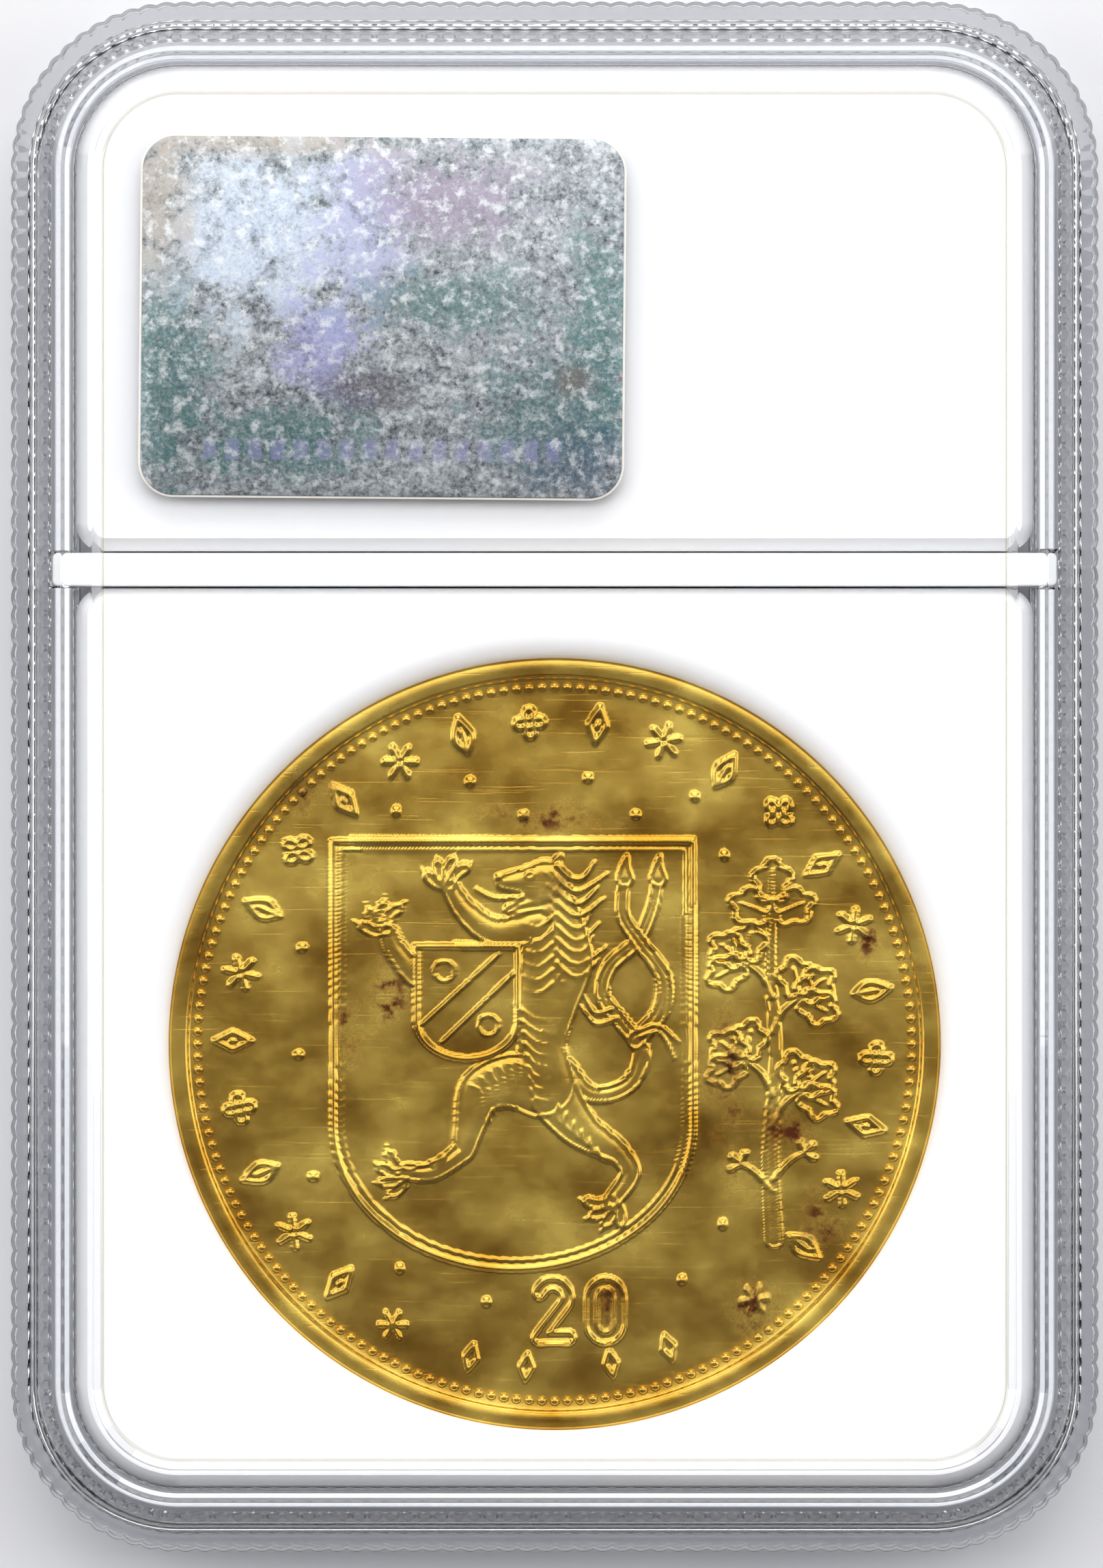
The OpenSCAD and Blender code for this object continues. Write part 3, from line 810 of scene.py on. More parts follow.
def strike_twig(relief):
    """A twig of lobed leaves, which stands beside the shield."""
    stem = flowing([(11.9, -10.6), (11.7, -6), (12.0, -1), (11.7, 4), (11.8, 7.6)])
    relief.body([(stem, (0.5, 0.2))], 0.12, 0.16)
    leaves = [(7.6, 0, 90, 2.3), (7.0, -0.1, 158, 2.2), (7.0, 0.1, 22, 2.2)]
    for level, side in ((3.1, -1), (1.2, 1), (-2.2, -1), (-3.9, 1)):
        fork = (11.8 + side * 1.5, level + 1.3)
        relief.stroke([(11.8, level - 0.6), (11.8 + side * 0.6, level + 0.6), fork], (0.34, 0.22), 0.15)
        leaves += [(fork[1], fork[0] - 11.8, 90 - side * turn, 2.1) for turn in (-12, 52, 118)]
    outline = leaf_outline()
    for y, x, heading, size in leaves:
        relief.line(turned(outline, 11.8 + x, y, heading, size), 0.2, 0.17)
        relief.line(turned([(0.05, 0), (0.8, 0)], 11.8 + x, y, heading, size), (0.16, 0.08), 0.14)
    for side, level in ((-1, -7.4), (1, -6.8)):
        tip = (11.8 + side * 1.7, level + 0.9)
        relief.stroke([(11.8, level - 0.6), (11.8 + side * 0.9, level + 0.4), tip], (0.34, 0.2), 0.15)
        for k in range(3):
            bud = turned([(0.6, 0)], *tip, 90 + side * (20 - 70 * k))[0]
            relief.line([tip, bud], (0.16, 0.4), 0.16)

# %% Numeral and border
def strike_numeral(relief):
    """A plain outlined numeral under the shield."""
    two = np.vstack([ellipse(-0.1, -13.75, 1.5, 1.5, 160, -30, 16), (-0.85, -15.95), (0.75, -15.95)])
    nought = np.vstack([ellipse(2.75, -13.8, 1.5, 1.6, 180, 0, 16),
        ellipse(2.75, -15.15, 1.5, 1.6, 0, -180, 16), (2.0, -13.8)])
    for path in (two, nought):
        near = relief.within(path, 0.8)
        away = relief.distance(near, path, np.array([0.0]))
        edge = np.clip(1 - ((away - 0.3) / 0.12) ** 2, 0, 1) ** 0.5 * 0.17
        relief.height[near] = np.maximum(relief.height[near], edge)


def strike_border(relief):
    """Ornaments round the border, small stars at their ends, and pellets in the field."""
    lozenge = np.array([(0, -1), (0.5, 0), (0, 1), (-0.5, 0), (0, -1)])
    leaf = [flowing([(0, -1), (0.5, -0.1), (0, 1)]), flowing([(0, -1), (-0.5, -0.1), (0, 1)]),
        [(0, -0.8), (0, 0.3)]]
    petals = [turned(ellipse(0.52, 0, 0.62, 0.5, steps=14), 0, 0, 90 * k) for k in range(4)]
    star = [turned([(0.25, 0), (0.9, 0)], 0, 0, 30 + 60 * k) for k in range(6)]
    kinds = ([lozenge, [(0, -0.1), (0, 0.1)]], petals, leaf, star)
    for k in range(23):
        heading = 228 - 12.14 * k
        x, y = turned([(17.45, 0)], 0, 0, heading)[0]
        for stroke in kinds[k * 3 % 4]:
            relief.line(turned(stroke, x, y, heading - 90, 0.95), 0.32, 0.16)
    for heading in (240, -52):
        x, y = turned([(17.6, 0)], 0, 0, heading)[0]
        for arm in range(3):
            relief.line(turned([(-0.75, 0), (0.75, 0)], x, y, heading + 60 * arm), 0.26, 0.15)
    for heading in (255, 265, 280, 290.5):
        x, y = turned([(17.6, 0)], 0, 0, heading)[0]
        relief.line(turned(lozenge, x, y, heading - 90, 0.72), 0.26, 0.15)
    for x, y in ((-8.6, 12.6), (-4.6, 14.2), (-1.7, 12.4), (1.8, 14.4), (4.4, 12.4), (7.6, 13.4),
            (9.2, 10.2), (-13.7, 5.2), (-13.9, -0.6), (-13.1, -7.2), (-8.4, -12.2), (-3.7, -14.0),
            (6.9, -12.8), (9.1, -9.8)):
        relief.pellet(x, y, 0.27, 0.16)

# %% The two faces
def reverse_heights(places):
    """The side that faces the back: shield, lion, twig, numeral and border."""
    relief = Relief(places)
    strike_shield(relief)
    strike_lion(relief)
    strike_small_shield(relief)
    strike_twig(relief)
    strike_numeral(relief)
    strike_border(relief)
    return relief.height


def obverse_heights(places):
    """The side that faces the front: a rosette in a wreath, with lozenges round it."""
    relief = Relief(places)
    petal = np.vstack([flowing([(0.3, 0), (3.2, 1.7), (6.4, 0)]),
        flowing([(6.4, 0), (3.2, -1.7), (0.3, 0)])])
    for k in range(8):
        relief.line(turned(petal, 0, 0, 45 * k), 0.34, 0.17)
        relief.line(turned([(1.6, 0), (5.2, 0)], 0, 0, 45 * k), (0.34, 0.12), 0.14)
        relief.line(turned([(2.6, 0), (7.2, 0)], 0, 0, 45 * k + 22.5), (0.2, 0.12), 0.12)
        relief.pellet(*turned([(7.9, 0)], 0, 0, 45 * k + 22.5)[0], 0.36, 0.16)
    relief.line(ellipse(0, 0, 19.4, 19.4, steps=96), 0.3, 0.15)
    outline = leaf_outline(3)
    for k in range(30):
        for side in (-1, 1):
            spot = turned([(12.6, 0)], 0, 0, 12 * k)[0]
            heading = 12 * k + 90 - side * 42
            relief.line(turned(outline, *spot, heading, 1.9), 0.2, 0.15)
    relief.line(ellipse(0, 0, 25.2, 25.2, steps=120), 0.28, 0.14)
    relief.line(ellipse(0, 0, 31.2, 31.2, steps=120), 0.22, 0.12)
    for k in range(36):
        spot = turned([(17.4, 0)], 0, 0, 10 * k)[0]
        relief.line(turned([(0, -1), (0.5, 0), (0, 1), (-0.5, 0), (0, -1)], *spot, 10 * k - 90, 0.8),
            0.26, 0.15)
    return relief.height

# %% [markdown]
# ## The coin's blank
#
# The faces need even detail all over, and a polar grid would crowd its middle. So a square grid is
# spread over the disc, with its squares turned into circles. Flat field needs no fine cells, so
# blocks of the grid stay whole where the die is flat and are split in four, again and again, where
# it is cut. A whole block's face lists every point that its neighbours use, so no gap is left.
# Rings then carry the surface over the rim and round the reeded edge.

# %% Tools for the coin's mesh
FIELD_R, FIELD_DROP = 19.74, 0.22
FIELD_HIGH, FIELD_LOW = COIN_HIGH[2] - FIELD_DROP, COIN_LOW[2] + FIELD_DROP
LARGEST_BLOCK, FINE_CELLS = 8, 352
REEDS, REED_DEPTH = 160, 0.05


def disc_places(count):
    """A square grid of places spread over a disc."""
    a, b = np.meshgrid(*[np.linspace(-1, 1, count + 1)] * 2, indexing="ij")
    wide = np.abs(a) > np.abs(b)
    reach = np.where(wide, a, b)
    share = np.where(wide, b, a) / np.where(reach == 0, 1, reach)
    angle = np.where(wide, share * math.pi / 4, math.pi / 2 - share * math.pi / 4)
    return np.stack([reach * np.cos(angle), reach * np.sin(angle)], axis=-1) * FIELD_R


def split_blocks(cut, i, j, size, blocks):
    """Lists the blocks of a grid, coarse where the die is flat and fine where it is cut."""
    region = cut[max(i - 1, 0):i + size + 2, max(j - 1, 0):j + size + 2]
    if size == 1 or not region.any():
        blocks.append((i, j, size))
        return
    half = size // 2
    for di in (0, half):
        for dj in (0, half):
            split_blocks(cut, i + di, j + dj, half, blocks)


def struck_face(count, heights, edge_step):
    """The points, faces and outer ring of one face of the coin."""
    places = disc_places(count)
    lift = heights(places.reshape(-1, 2)).reshape(count + 1, count + 1)
    blocks = []
    for i in range(0, count, LARGEST_BLOCK):
        for j in range(0, count, LARGEST_BLOCK):
            split_blocks(lift > 0, i, j, LARGEST_BLOCK, blocks)
    used = np.zeros((count + 1, count + 1), bool)
    used[::edge_step, [0, -1]] = True
    used[[0, -1], ::edge_step] = True
    for i, j, size in blocks:
        used[i:i + size + 1:size, j:j + size + 1:size] = True
    number = np.cumsum(used.ravel()).reshape(used.shape) - 1
    faces = []
    for i, j, size in blocks:
        walk = ([(i + k, j) for k in range(size)] + [(i + size,
            j + k) for k in range(size)] + [(i + size - k, j + size) for k in range(size)] + [(i,
            j + size - k) for k in range(size)])
        faces.append([int(number[spot]) for spot in walk if used[spot]])
    last = count
    ring = ([(k, 0) for k in range(0, last, edge_step)] + [(last, k) for k in range(0, last,
        edge_step)] + [(last - k, last) for k in range(0, last, edge_step)] + [(0,
        last - k) for k in range(0, last, edge_step)])
    points = np.column_stack([places[used], lift[used]])
    return points, faces, np.array([number[spot] for spot in ring])

# %% Coin
def ring_faces(inner, outer):
    """Faces between two rings of vertex numbers of equal length."""
    return np.stack([outer, np.roll(outer, -1), np.roll(inner, -1), inner], axis=-1).tolist()


def struck_coin(name, fine):
    """One closed mesh: reverse, rim, reeded edge, rim and obverse."""
    back, back_faces, back_ring = struck_face(fine, reverse_heights, 2)
    front, front_faces, front_ring = struck_face(fine // 2, obverse_heights, 1)
    side = len(back_ring)
    angles = math.radians(225) + np.arange(side) * 2 * math.pi / side
    reeds = REED_DEPTH * (0.5 + 0.5 * np.cos(REEDS * angles))
    over_rim = [(19.82, 0.2), (19.89, 0.12), (19.96, 0.035), (20.08, 0.0), (20.75, 0), (20.9, 0.03),
        (COIN_R, 0.15)]
    rings = ([(r, COIN_HIGH[2] - d, 0) for r, d in over_rim] + [(COIN_R, COIN_HIGH[2] - 0.22, 1),
        (COIN_R, COIN_LOW[2] + 0.22, 1)] + [(r, COIN_LOW[2] + d, 0) for r, d in reversed(over_rim)])
    points = [back + (0, 0, FIELD_HIGH)]
    for radius, z, reeded in rings:
        r = radius - reeds * reeded
        points.append(np.column_stack([r * np.cos(angles), r * np.sin(angles), np.full(side, z)]))
    points.append(front * (1, 1, -1) + (0, 0, FIELD_LOW))
    starts = len(back) + side * np.arange(len(rings) + 1)
    numbers = ([back_ring] + [start + np.arange(side) for start in starts[:-1]]
        + [starts[-1] + front_ring])
    faces = back_faces
    for inner, outer in zip(numbers, numbers[1:]):
        faces += ring_faces(inner, outer)
    faces += [[int(starts[-1]) + k for k in reversed(face)] for face in front_faces]
    made = mesh_object(name, np.vstack(points) + (COIN_CENTRE[0], COIN_CENTRE[1], 0), faces)
    smooth_by_angle(made, 80)
    return made


coin = struck_coin("coin_struck", FINE_CELLS)

# %% [markdown]
# ## Gold
#
# The coin is struck from nearly pure gold, so its colour is deep and its field is not a mirror: a
# century of handling left fine hairlines, a soft grain, and red-brown copper toning in patches
# beside the relief. Gold has no colour of its own but its reflection, so the colour is the metal's
# base colour, and the toning is a darker, rougher metal that is mixed in by place.

# %% Struck gold
TONING = ((-1.0, 12.3, 4.2, 1.2), (-9.0, 2.6, 1.6, 2.8), (-11.2, 0.6, 1.0, 2.6), (9.3, -2.2, 1.4, 5.5),
    (12.8, -4.6, 2.2, 2.0), (9.9, -7.3, 1.4, 1.3), (10.6, -14.3, 2.0, 2.2), (14.6, -9.6, 1.6, 2.6),
    (-13.2, 13.4, 2.2, 1.6), (2.8, -14.2, 1.8, 1.6), (17.0, 5.6, 1.0, 1.4), (0.0, 8.4, 1.2, 1.2))


def patch(tree, place_on, noise, x, y, width, height):
    """One soft-edged stain at a place on the coin, broken up by noise: 1 inside, 0 outside."""
    local = add(tree, "Mapping", {"Vector": place_on, "Scale": (width * MM, height * MM, 20 * MM),
        "Location": ((COIN_CENTRE[0] + x) * MM, (COIN_CENTRE[1] + y) * MM, 0)}, vector_type="TEXTURE")
    away = add(tree, "VectorMath", (local,), operation="LENGTH")
    ragged = add(tree, "Math", (away, noise), operation="SUBTRACT")
    return add(tree, "MapRange", {"Value": ragged, "From Min": -0.35, "From Max": 0.55, "To Min": 1.0,
        "To Max": 0.0}, interpolation_type="SMOOTHSTEP")


def struck_gold():
    """Struck gold with a grained field, hairlines and patches of copper toning."""
    tree, place_on, material = new_material("struck_gold")
    blotch = add(tree, "TexNoise", {"Vector": place_on, "Scale": 1 / (1.1 * MM), "Detail": 5,
        "Roughness": 0.65})
    toned = None
    for stain in TONING:
        spot = patch(tree, place_on, blotch, *stain)
        toned = spot if toned is None else add(tree, "Math", (toned, spot), operation="MAXIMUM")
    deposit = add(tree, "MapRange", {"Value": blotch, "From Min": 0.4, "From Max": 0.62})
    stained = add(tree, "Math", (toned, deposit), operation="MULTIPLY")
    brushed = add(tree, "Mapping", {"Vector": place_on, "Rotation": (0, 0, 1.2), "Scale": (1, 1.35, 1)})
    cloud = add(tree, "TexNoise", {"Vector": brushed, "Scale": 1 / (5 * MM), "Detail": 4,
        "Roughness": 0.55})
    cloudy = add(tree, "MapRange", {"Value": cloud, "From Min": 0.3, "From Max": 0.7})
    metal = add(tree, "Mix", {0: cloudy, 6: "#CE9A2E", 7: "#FFDE6C"}, data_type="RGBA")
    coloured = add(tree, "Mix", {0: stained, 6: metal, 7: "#5E2C14"}, data_type="RGBA")
    grain = add(tree, "TexNoise", {"Vector": place_on, "Scale": 1 / (0.22 * MM), "Detail": 4})
    gloss = add(tree, "MapRange", {"Value": cloud, "From Min": 0.25, "From Max": 0.75, "To Min": 0.18,
        "To Max": 0.3})
    duller = add(tree, "Math", (stained, 0.2, gloss), operation="MULTIPLY_ADD")
    swell = add(tree, "TexNoise", {"Vector": place_on, "Scale": 1 / (5 * MM), "Detail": 2.5,
        "Roughness": 0.5})
    fine = add(tree, "Math", (grain, 0.2), operation="MULTIPLY")
    height = add(tree, "Math", (swell, 5.0, fine), operation="MULTIPLY_ADD")
    for angle, reach in ((0.35, 0.66), (-0.5, 0.68), (1.9, 0.69)):
        along = add(tree, "Mapping", {"Vector": place_on, "Rotation": (0, 0, angle),
            "Scale": (180, 4200, 180)})
        hair = add(tree, "TexNoise", {"Vector": along, "Scale": 1, "Detail": 1})
        scratch = add(tree, "MapRange", {"Value": hair, "From Min": reach, "From Max": reach + 0.05,
            "To Min": 0, "To Max": -0.3})
        height = add(tree, "Math", (height, scratch), operation="ADD")
    bump = add(tree, "Bump", {"Height": height, "Strength": 0.4, "Distance": 0.012 * MM})
    gold = add(tree, "BsdfPrincipled", {"Base Color": coloured, "Metallic": 1.0, "Roughness": duller,
        "Normal": bump})
    return surfaced(material, gold)


GOLD = struck_gold()
place(coin, GOLD, "coin", "coin")

# %% [markdown]
# A ring of small round beads runs inside each rim. They repeat, so Geometry Nodes sets them out:
# points on a circle, one bead of a few dozen faces, and an instance on each point.

# %% Beading
def bead_ring():
    """The tree that sets beads round a circle."""
    tree, given = open_tree("ring_of_beads", (("Ring Radius", "Float", 19.36 * MM), ("Beads", "Int", 176),
        ("Bead Radius", "Float", 0.29 * MM), ("Bead Height", "Float", 0.74),
        ("Centre", "Vector", (0, 0, 0)), ("Material", "Material")))
    ring = add(tree, "GeometryNodeCurvePrimitiveCircle",
        {"Resolution": 512, "Radius": given["Ring Radius"]})
    spots = add(tree, "GeometryNodeCurveToPoints", {"Curve": ring, "Count": given["Beads"]}, mode="COUNT")
    ball = add(tree, "GeometryNodeMeshUVSphere", {"Segments": 10, "Rings": 6,
        "Radius": given["Bead Radius"]})
    flat = add(tree, "CombineXYZ", (1, 1, given["Bead Height"]))
    beads = add(tree, "GeometryNodeInstanceOnPoints", {"Points": spots, "Instance": ball, "Scale": flat})
    moved = add(tree, "GeometryNodeTransform", {"Geometry": beads, "Translation": given["Centre"]})
    return close_tree(tree, given, moved)


BEAD_RING = bead_ring()
for side, z in (("back", FIELD_HIGH), ("front", FIELD_LOW)):
    beading = mesh_object("coin_beading_" + side, [(0, 0, 0)], [])
    centre = (COIN_CENTRE[0] * MM, COIN_CENTRE[1] * MM, z * MM)
    run_tree(beading, BEAD_RING, {"Centre": centre, "Material": GOLD})
    beading.data.shade_smooth()
    place(beading, GOLD, "coin", "coin")

# %% [markdown]
# ## Security seal
#
# The seal is a thin metallised foil on a pale layer of glue. Its diffraction pattern turns the
# light blue, lilac and teal by patches, and years of stacking scuffed it, so the silver shows
# through. The embossed pattern is a plain rosette of fine rings with a row of bars below it. The
# patches are placed by distance and broken up by noise, as the scuffs are.

# %% Sheen and embossing of the foil
SEAL_LOW, SEAL_HIGH = box_mm("security_seal")
SEAL_CENTRE = (SEAL_LOW + SEAL_HIGH) / 2
SEAL_W, SEAL_H, SEAL_R, SEAL_TURN = 26.0, 19.4, 1.8, -0.5
SHEEN = (("#39706F", -11.6, -3.6, 2.6, 6.0), ("#35706F", -5.4, -6.6, 5.4, 2.2),
    ("#3F6F72", 9.6, -5.0, 4.8, 3.4), ("#457A78", 11.8, 0.4, 1.8, 5.4), ("#D3E0F4", -6.0, 4.2, 5.8, 4.6),
    ("#B3B6DA", -1.2, 4.6, 2.6, 5.4), ("#A6A6DC", -3.4, -1.6, 2.4, 2.8), ("#A08FA8", 3.4, 6.4, 4.6, 2.6),
    ("#B7AC9E", -12.2, 6.2, 1.8, 4.0), ("#B7AC9E", -6.0, 9.4, 7.0, 0.8), ("#577F7E", 4.0, 0.8, 5.4, 1.8),
    ("#50687F", 10.6, -8.0, 3.0, 1.8), ("#5E5560", -0.6, -3.8, 2.6, 1.2),
    ("#7C6F68", 10.4, -3.4, 1.2, 0.9))


def with_sheen(tree, local, broad, colour):
    """The silver with its coloured patches laid over it, each broken up by noise."""
    grain = add(tree, "TexNoise", {"Vector": local, "Scale": 5.0, "Detail": 4, "Roughness": 0.7})
    speckle = add(tree, "MapRange", {"Value": grain, "From Min": 0.35, "From Max": 0.6, "To Min": 0.35,
        "To Max": 1.0})
    for hue, x, y, width, height in SHEEN:
        near = add(tree, "Mapping", {"Vector": local, "Location": (x, y, 0),
            "Scale": (width, height, 50)}, vector_type="TEXTURE")
        away = add(tree, "VectorMath", (near,), operation="LENGTH")
        ragged = add(tree, "Math", (broad, -4.2, away), operation="MULTIPLY_ADD")
        share = add(tree, "MapRange", {"Value": ragged, "From Min": -1.6, "From Max": -0.9, "To Min": 0.8,
            "To Max": 0.0})
        share = add(tree, "Math", (share, speckle), operation="MULTIPLY")
        colour = add(tree, "Mix", {0: share, 6: colour, 7: hue}, data_type="RGBA")
    return colour


def embossing(tree, local):
    """How strongly the fine rings and the row of bars show at a place."""
    middle = add(tree, "Mapping", {"Vector": local, "Location": (-5.0, 2.6, 0)}, vector_type="TEXTURE")
    rings = add(tree, "TexWave", {"Vector": middle, "Scale": 0.55, "Distortion": 1.2, "Detail": 1},
        wave_type="RINGS", rings_direction="Z")
    edge = add(tree, "VectorMath", (middle,), operation="LENGTH")
    within = add(tree, "MapRange", {"Value": edge, "From Min": 4.6, "From Max": 5.4, "To Min": 0.3,
        "To Max": 0.0})
    engraved = add(tree, "Math", (rings, within), operation="MULTIPLY")
    parts = add(tree, "SeparateXYZ", {"Vector": local})
    bar_at = add(tree, "Math", (parts.outputs["X"], 0.62), operation="PINGPONG")
    bars = add(tree, "MapRange", {"Value": bar_at, "From Min": 0.2, "From Max": 0.28})
    off_row = add(tree, "Math", (parts.outputs["Y"], 7.2), operation="ADD")
    row_away = add(tree, "Math", (off_row,), operation="ABSOLUTE")
    in_row = add(tree, "MapRange", {"Value": row_away, "From Min": 0.5, "From Max": 0.6, "To Min": 0.55,
        "To Max": 0.0})
    reach = add(tree, "Math", (parts.outputs["X"],), operation="ABSOLUTE")
    short = add(tree, "Math", (reach, 9.6), operation="LESS_THAN")
    row = add(tree, "Math", (bars, in_row), operation="MULTIPLY")
    row = add(tree, "Math", (row, short), operation="MULTIPLY")
    return add(tree, "Math", (engraved, row), operation="MAXIMUM")

# %% Foil
def foil():
    """Scuffed diffraction foil: silver, with patches of sheen, fine rings and bars."""
    tree, place_on, material = new_material("scuffed_diffraction_foil")
    local = add(tree, "Mapping", {"Vector": place_on, "Scale": (MM, MM, MM),
        "Rotation": (0, 0, math.radians(SEAL_TURN)), "Location": (SEAL_CENTRE[0] * MM,
        SEAL_CENTRE[1] * MM, 0)}, vector_type="TEXTURE")
    broad = add(tree, "TexNoise", {"Vector": local, "Scale": 0.55, "Detail": 7, "Roughness": 0.72})
    fine = add(tree, "TexNoise", {"Vector": local, "Scale": 3.2, "Detail": 5, "Roughness": 0.75})
    mottled = add(tree, "Math", (broad, 0.9, fine), operation="MULTIPLY_ADD")
    silver = add(tree, "MapRange", {"Value": mottled, "From Min": 0.72, "From Max": 1.15})
    colour = add(tree, "Mix", {0: silver, 6: "#434D54", 7: "#CBD1D5"}, data_type="RGBA")
    colour = with_sheen(tree, local, broad, colour)
    worn = add(tree, "MapRange", {"Value": fine, "From Min": 0.42, "From Max": 0.58, "To Min": 1.0,
        "To Max": 0.25})
    kept = add(tree, "Math", (embossing(tree, local), worn), operation="MULTIPLY")
    colour = add(tree, "Mix", {0: kept, 6: colour, 7: "#ABA7E2"}, data_type="RGBA")
    rubbed = add(tree, "TexNoise", {"Vector": local, "Scale": 1.4, "Detail": 8, "Roughness": 0.72,
        "Distortion": 0.1})
    bare = add(tree, "MapRange", {"Value": rubbed, "From Min": 0.51, "From Max": 0.64, "To Min": 0.0,
        "To Max": 0.7})
    colour = add(tree, "Mix", {0: bare, 6: colour, 7: "#EDF1F4"}, data_type="RGBA")
    scuff = add(tree, "TexNoise", {"Vector": local, "Scale": 7.5, "Detail": 3, "Roughness": 0.8})
    pit = add(tree, "MapRange", {"Value": scuff, "From Min": 0.36, "From Max": 0.28, "To Min": 0.0,
        "To Max": 0.6})
    colour = add(tree, "Mix", {0: pit, 6: colour, 7: "#3F4648"}, data_type="RGBA")
    gloss = add(tree, "MapRange", {"Value": fine, "From Min": 0.3, "From Max": 0.7, "To Min": 0.36,
        "To Max": 0.62})
    bump = add(tree, "Bump", {"Height": fine, "Strength": 0.55, "Distance": 0.03 * MM})
    shader = add(tree, "BsdfPrincipled", {"Base Color": colour, "Metallic": 0.55, "Roughness": gloss,
        "Normal": bump})
    return surfaced(material, shader)

# %% Glue
def glue():
    """Pressure-sensitive glue: pale, a little yellow, with a soft gloss."""
    tree, place_on, material = new_material("pressure_sensitive_glue")
    streaks = add(tree, "TexNoise", {"Vector": place_on, "Scale": 1 / (0.8 * MM), "Detail": 3})
    colour = add(tree, "Mix", {0: streaks, 6: "#F0E9DC", 7: "#FFFDF8"}, data_type="RGBA")
    gloss = add(tree, "MapRange", {"Value": streaks, "To Min": 0.25, "To Max": 0.45})
    shader = add(tree, "BsdfPrincipled", {"Base Color": colour, "Roughness": gloss, "IOR": 1.47})
    return surfaced(material, shader)

# %% Seal
GLUE_MARGIN, GLUE_LOW = 0.12, box_mm("seal_adhesive")[0][2] + 0.004
seal_half, glue_half = np.array([SEAL_W, SEAL_H]) / 2, np.array([SEAL_W, SEAL_H]) / 2 + GLUE_MARGIN
seal_middle = SEAL_CENTRE[:2]
seal_glue = rounded_block("seal_adhesive_layer", seal_middle - glue_half, seal_middle + glue_half,
    [SEAL_R + GLUE_MARGIN] * 4, [(0.02, GLUE_LOW), (0, GLUE_LOW + 0.02), (0.01, SEAL_LOW[2] - 0.012),
    (0.05, SEAL_LOW[2] - 0.003)], turn=SEAL_TURN)
smooth_by_angle(seal_glue, 50)
place(seal_glue, glue(), "case", "seal_adhesive")
seal = rounded_block("security_seal_foil", seal_middle - seal_half, seal_middle + seal_half, [SEAL_R] * 4,
    [(0.02, SEAL_LOW[2]), (0, SEAL_LOW[2] + 0.02), (0.01, SEAL_HIGH[2] - 0.02), (0.05, SEAL_HIGH[2])],
    turn=SEAL_TURN)
smooth_by_angle(seal, 50)
place(seal, foil(), "case", "security_seal")

# %% [markdown]
# ## Grading label
#
# The label is a printed card that faces the front of the slab. Its print is generic: two colour
# bands, grey bars where a grader's lines would be, and a stripe code. Each printed block is a
# rectangle mask on the card's own place, so the print stays sharp at any distance.

# %% Printed card
CARD_LOW, CARD_HIGH = box_mm("grading_label")
CARD_MIDDLE = (CARD_HIGH + CARD_LOW)[:2] / 2
GREY_BARS = [("#3A3D40", -20.5 + 0.5 * width, 3.2 - 2.5 * k, width, 1.2)
    for k, width in enumerate((23, 17, 26, 12))]
PRINT = [("#1F4E5F", 0, 8.6, 60, 4.2), ("#B8C4C6", 0, 6.2, 60, 0.4), ("#B8C4C6", 0, -9.6, 46, 0.3),
    *GREY_BARS, ("#E8EDEE", -12.5, 8.6, 16, 1.1), ("#2B2D30", 17.5, 1.8, 7, 4.4),
    ("#EDEBE2", 17.5, 1.8, 6.2, 3.6), ("#1F4E5F", 17.5, 1.8, 2.8, 2.6)]
CODE_BLOCK, CODE_PITCH = (13.5, -6.2, 15, 3.6), 0.28


def printed_card():
    """Matt printed card: ivory stock, colour blocks and a stripe code."""
    tree, place_on, material = new_material("printed_card")
    local = add(tree, "Mapping", {"Vector": place_on, "Scale": (-MM, MM, MM),
        "Location": (CARD_MIDDLE[0] * MM, CARD_MIDDLE[1] * MM, 0)}, vector_type="TEXTURE")
    fibre = add(tree, "TexNoise", {"Vector": local, "Scale": 4, "Detail": 4})
    colour = add(tree, "Mix", {0: fibre, 6: "#EAE7DC", 7: "#F6F4EC"}, data_type="RGBA")
    parts = add(tree, "SeparateXYZ", {"Vector": local})

    def block(x, y, width, height):
        inside = []
        for axis, middle, size in (("X", x, width), ("Y", y, height)):
            shifted = add(tree, "Math", (parts.outputs[axis], middle), operation="SUBTRACT")
            away = add(tree, "Math", (shifted,), operation="ABSOLUTE")
            inside.append(add(tree, "Math", (away, size / 2), operation="LESS_THAN"))
        return add(tree, "Math", (inside[0], inside[1]), operation="MULTIPLY")

    for hue, *place_and_size in PRINT:
        colour = add(tree, "Mix", {0: block(*place_and_size), 6: colour, 7: hue}, data_type="RGBA")
    column = add(tree, "Math", (parts.outputs["X"], CODE_PITCH), operation="SNAP")
    columns = add(tree, "TexWhiteNoise", {"W": column}, noise_dimensions="1D")
    stripe = add(tree, "Math", (columns, 0.5), operation="GREATER_THAN")
    code = add(tree, "Math", (stripe, block(*CODE_BLOCK)), operation="MULTIPLY")
    colour = add(tree, "Mix", {0: code, 6: colour, 7: "#202225"}, data_type="RGBA")
    bump = add(tree, "Bump", {"Height": fibre, "Strength": 0.2, "Distance": 0.02 * MM})
    shader = add(tree, "BsdfPrincipled", {"Base Color": colour, "Roughness": 0.55, "Normal": bump})
    return surfaced(material, shader)


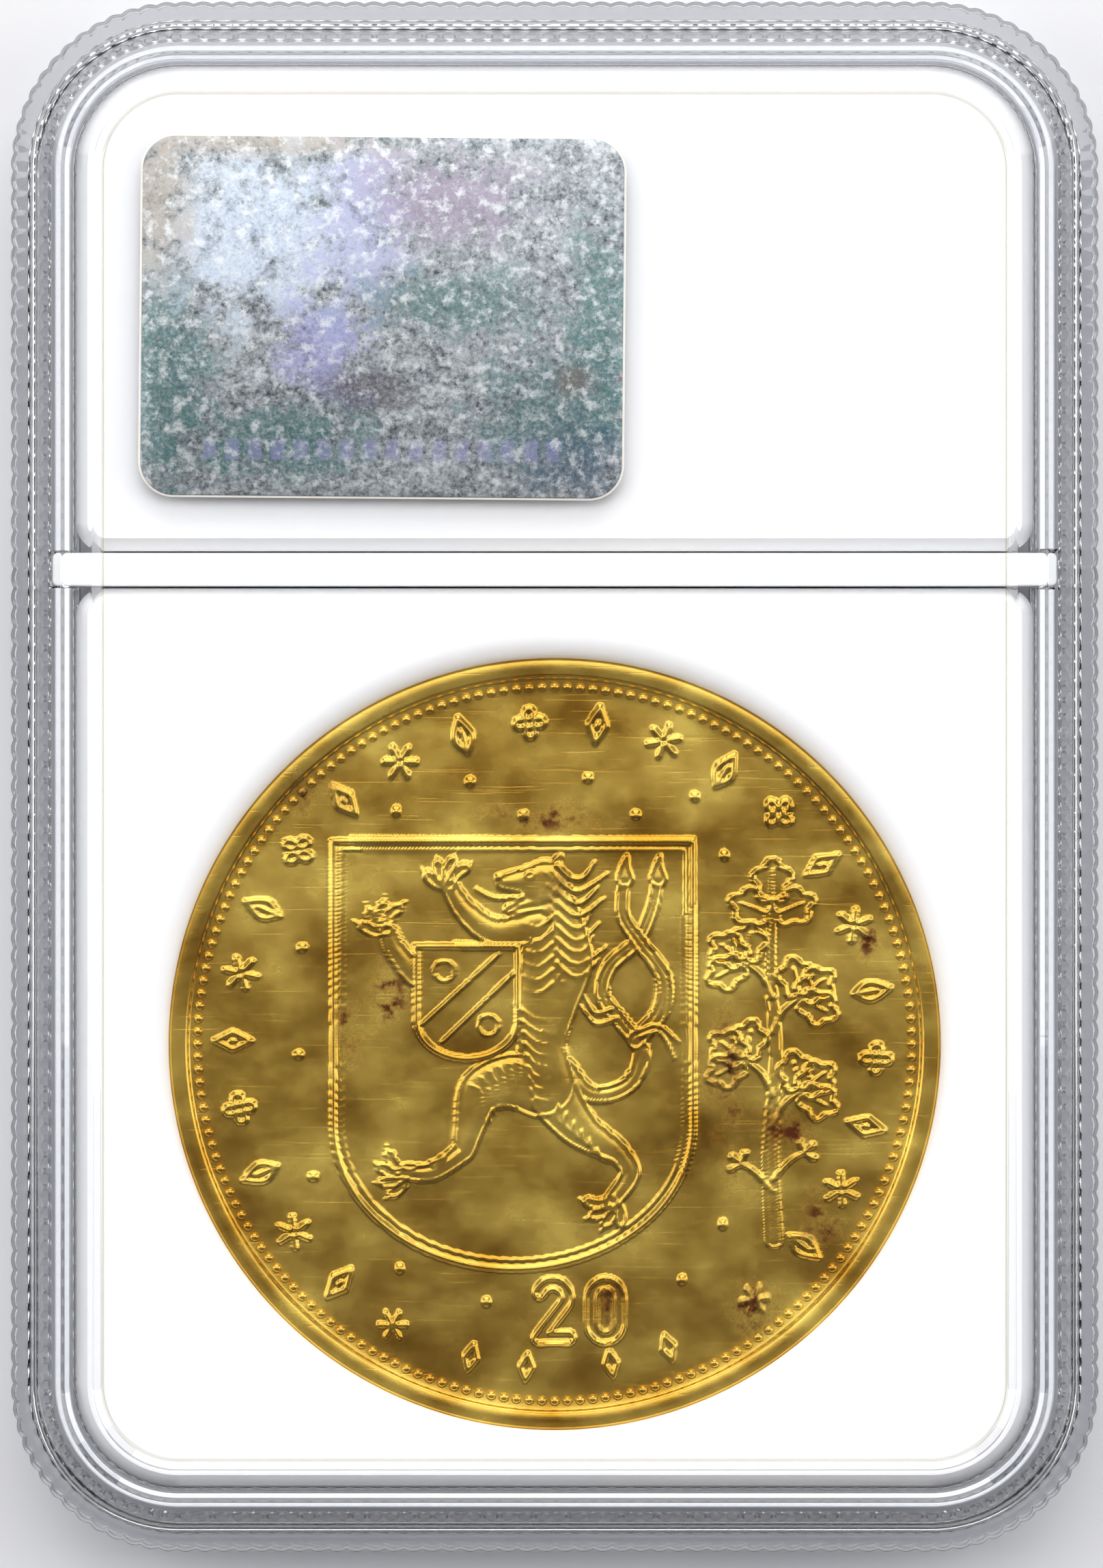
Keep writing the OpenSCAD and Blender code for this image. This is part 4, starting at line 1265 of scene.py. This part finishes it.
CARD_R, CARD_EDGE = 4.8, 0.03
card = rounded_block("grading_label_card", CARD_LOW, CARD_HIGH, [CARD_R] * 4,
    [(CARD_EDGE, CARD_LOW[2]), (0, CARD_LOW[2] + CARD_EDGE), (0, CARD_HIGH[2] - CARD_EDGE),
    (CARD_EDGE, CARD_HIGH[2])])
smooth_by_angle(card, 40)
place(card, printed_card(), "case", "grading_label")

# %% [markdown]
# ## Floor, light and camera
#
# The slab lies on a pale matt table. Most light comes from beyond the label end: a low window and a
# soft light high above it. Weaker windows stand at the sides. Nothing hangs straight above, because
# the flat window of the slab would mirror it to whoever looks down on it.

# %% Floor
def pale_table():
    """A pale matt table top with a faint unevenness."""
    tree, place_on, material = new_material("pale_table_top")
    cloud = add(tree, "TexNoise", {"Vector": place_on, "Scale": 90, "Detail": 4})
    colour = add(tree, "Mix", {0: cloud, 6: "#E2E2E5", 7: "#E9E9EB"}, data_type="RGBA")
    shader = add(tree, "BsdfPrincipled", {"Base Color": colour, "Roughness": 0.7})
    return surfaced(material, shader)


FLOOR_HALF, FLOOR_Z = 1500, -0.02
floor = mesh_object("floor", [(x * FLOOR_HALF, y * FLOOR_HALF, FLOOR_Z) for x,
    y in ((-1, -1), (1, -1), (1, 1), (-1, 1))], [(0, 1, 2, 3)])
floor.data.materials.append(pale_table())

# %% Lights
def softbox(name, place_m, size, power):
    """An area light that points at the slab."""
    lamp = bpy.data.lights.new(name, "AREA")
    lamp.shape, lamp.size, lamp.size_y = "RECTANGLE", size[0], size[1]
    lamp.energy = power
    holder = bpy.data.objects.new(name, lamp)
    holder.location = place_m
    holder.rotation_euler = (-Vector(place_m)).to_track_quat("-Z", "Y").to_euler()
    bpy.context.scene.collection.objects.link(holder)


softbox("north_window", (0.0, 0.45, 0.3), (0.6, 0.3), 2.1)
softbox("west_window", (-0.4, 0.08, 0.28), (0.25, 0.4), 0.95)
softbox("east_window", (0.4, 0.08, 0.28), (0.25, 0.4), 0.95)
softbox("south_window", (0.0, -0.5, 0.3), (0.5, 0.2), 0.14)
softbox("north_ceiling", (0.0, 0.32, 0.95), (0.9, 0.42), 3.4)
softbox("south_ceiling", (0.0, -0.27, 0.95), (0.9, 0.3), 0.25)
world = bpy.data.worlds.new("room")
world.use_nodes = True
world.node_tree.nodes["Background"].inputs["Color"].default_value = linear("#C9CACD")
world.node_tree.nodes["Background"].inputs["Strength"].default_value = 0.09
bpy.context.scene.world = world
print("lights", sorted(lamp.name for lamp in bpy.data.lights))

# %% Camera
VIEW_HEIGHT, DISTANCE, SENSOR = 85.2, 500, 36
camera = bpy.data.cameras.new("camera")
camera.sensor_width = SENSOR
camera.lens = SENSOR * DISTANCE / VIEW_HEIGHT
camera.clip_start, camera.clip_end = 0.01, 10
eye = bpy.data.objects.new("camera", camera)
eye.location = (-0.17 * MM, -0.4 * MM, (DISTANCE + SEAM_Z) * MM)
bpy.context.scene.collection.objects.link(eye)
bpy.context.scene.camera = eye
bpy.context.scene.view_settings.view_transform = "Standard"
print(f"camera {DISTANCE} mm above the seam, lens {camera.lens:.0f} mm")
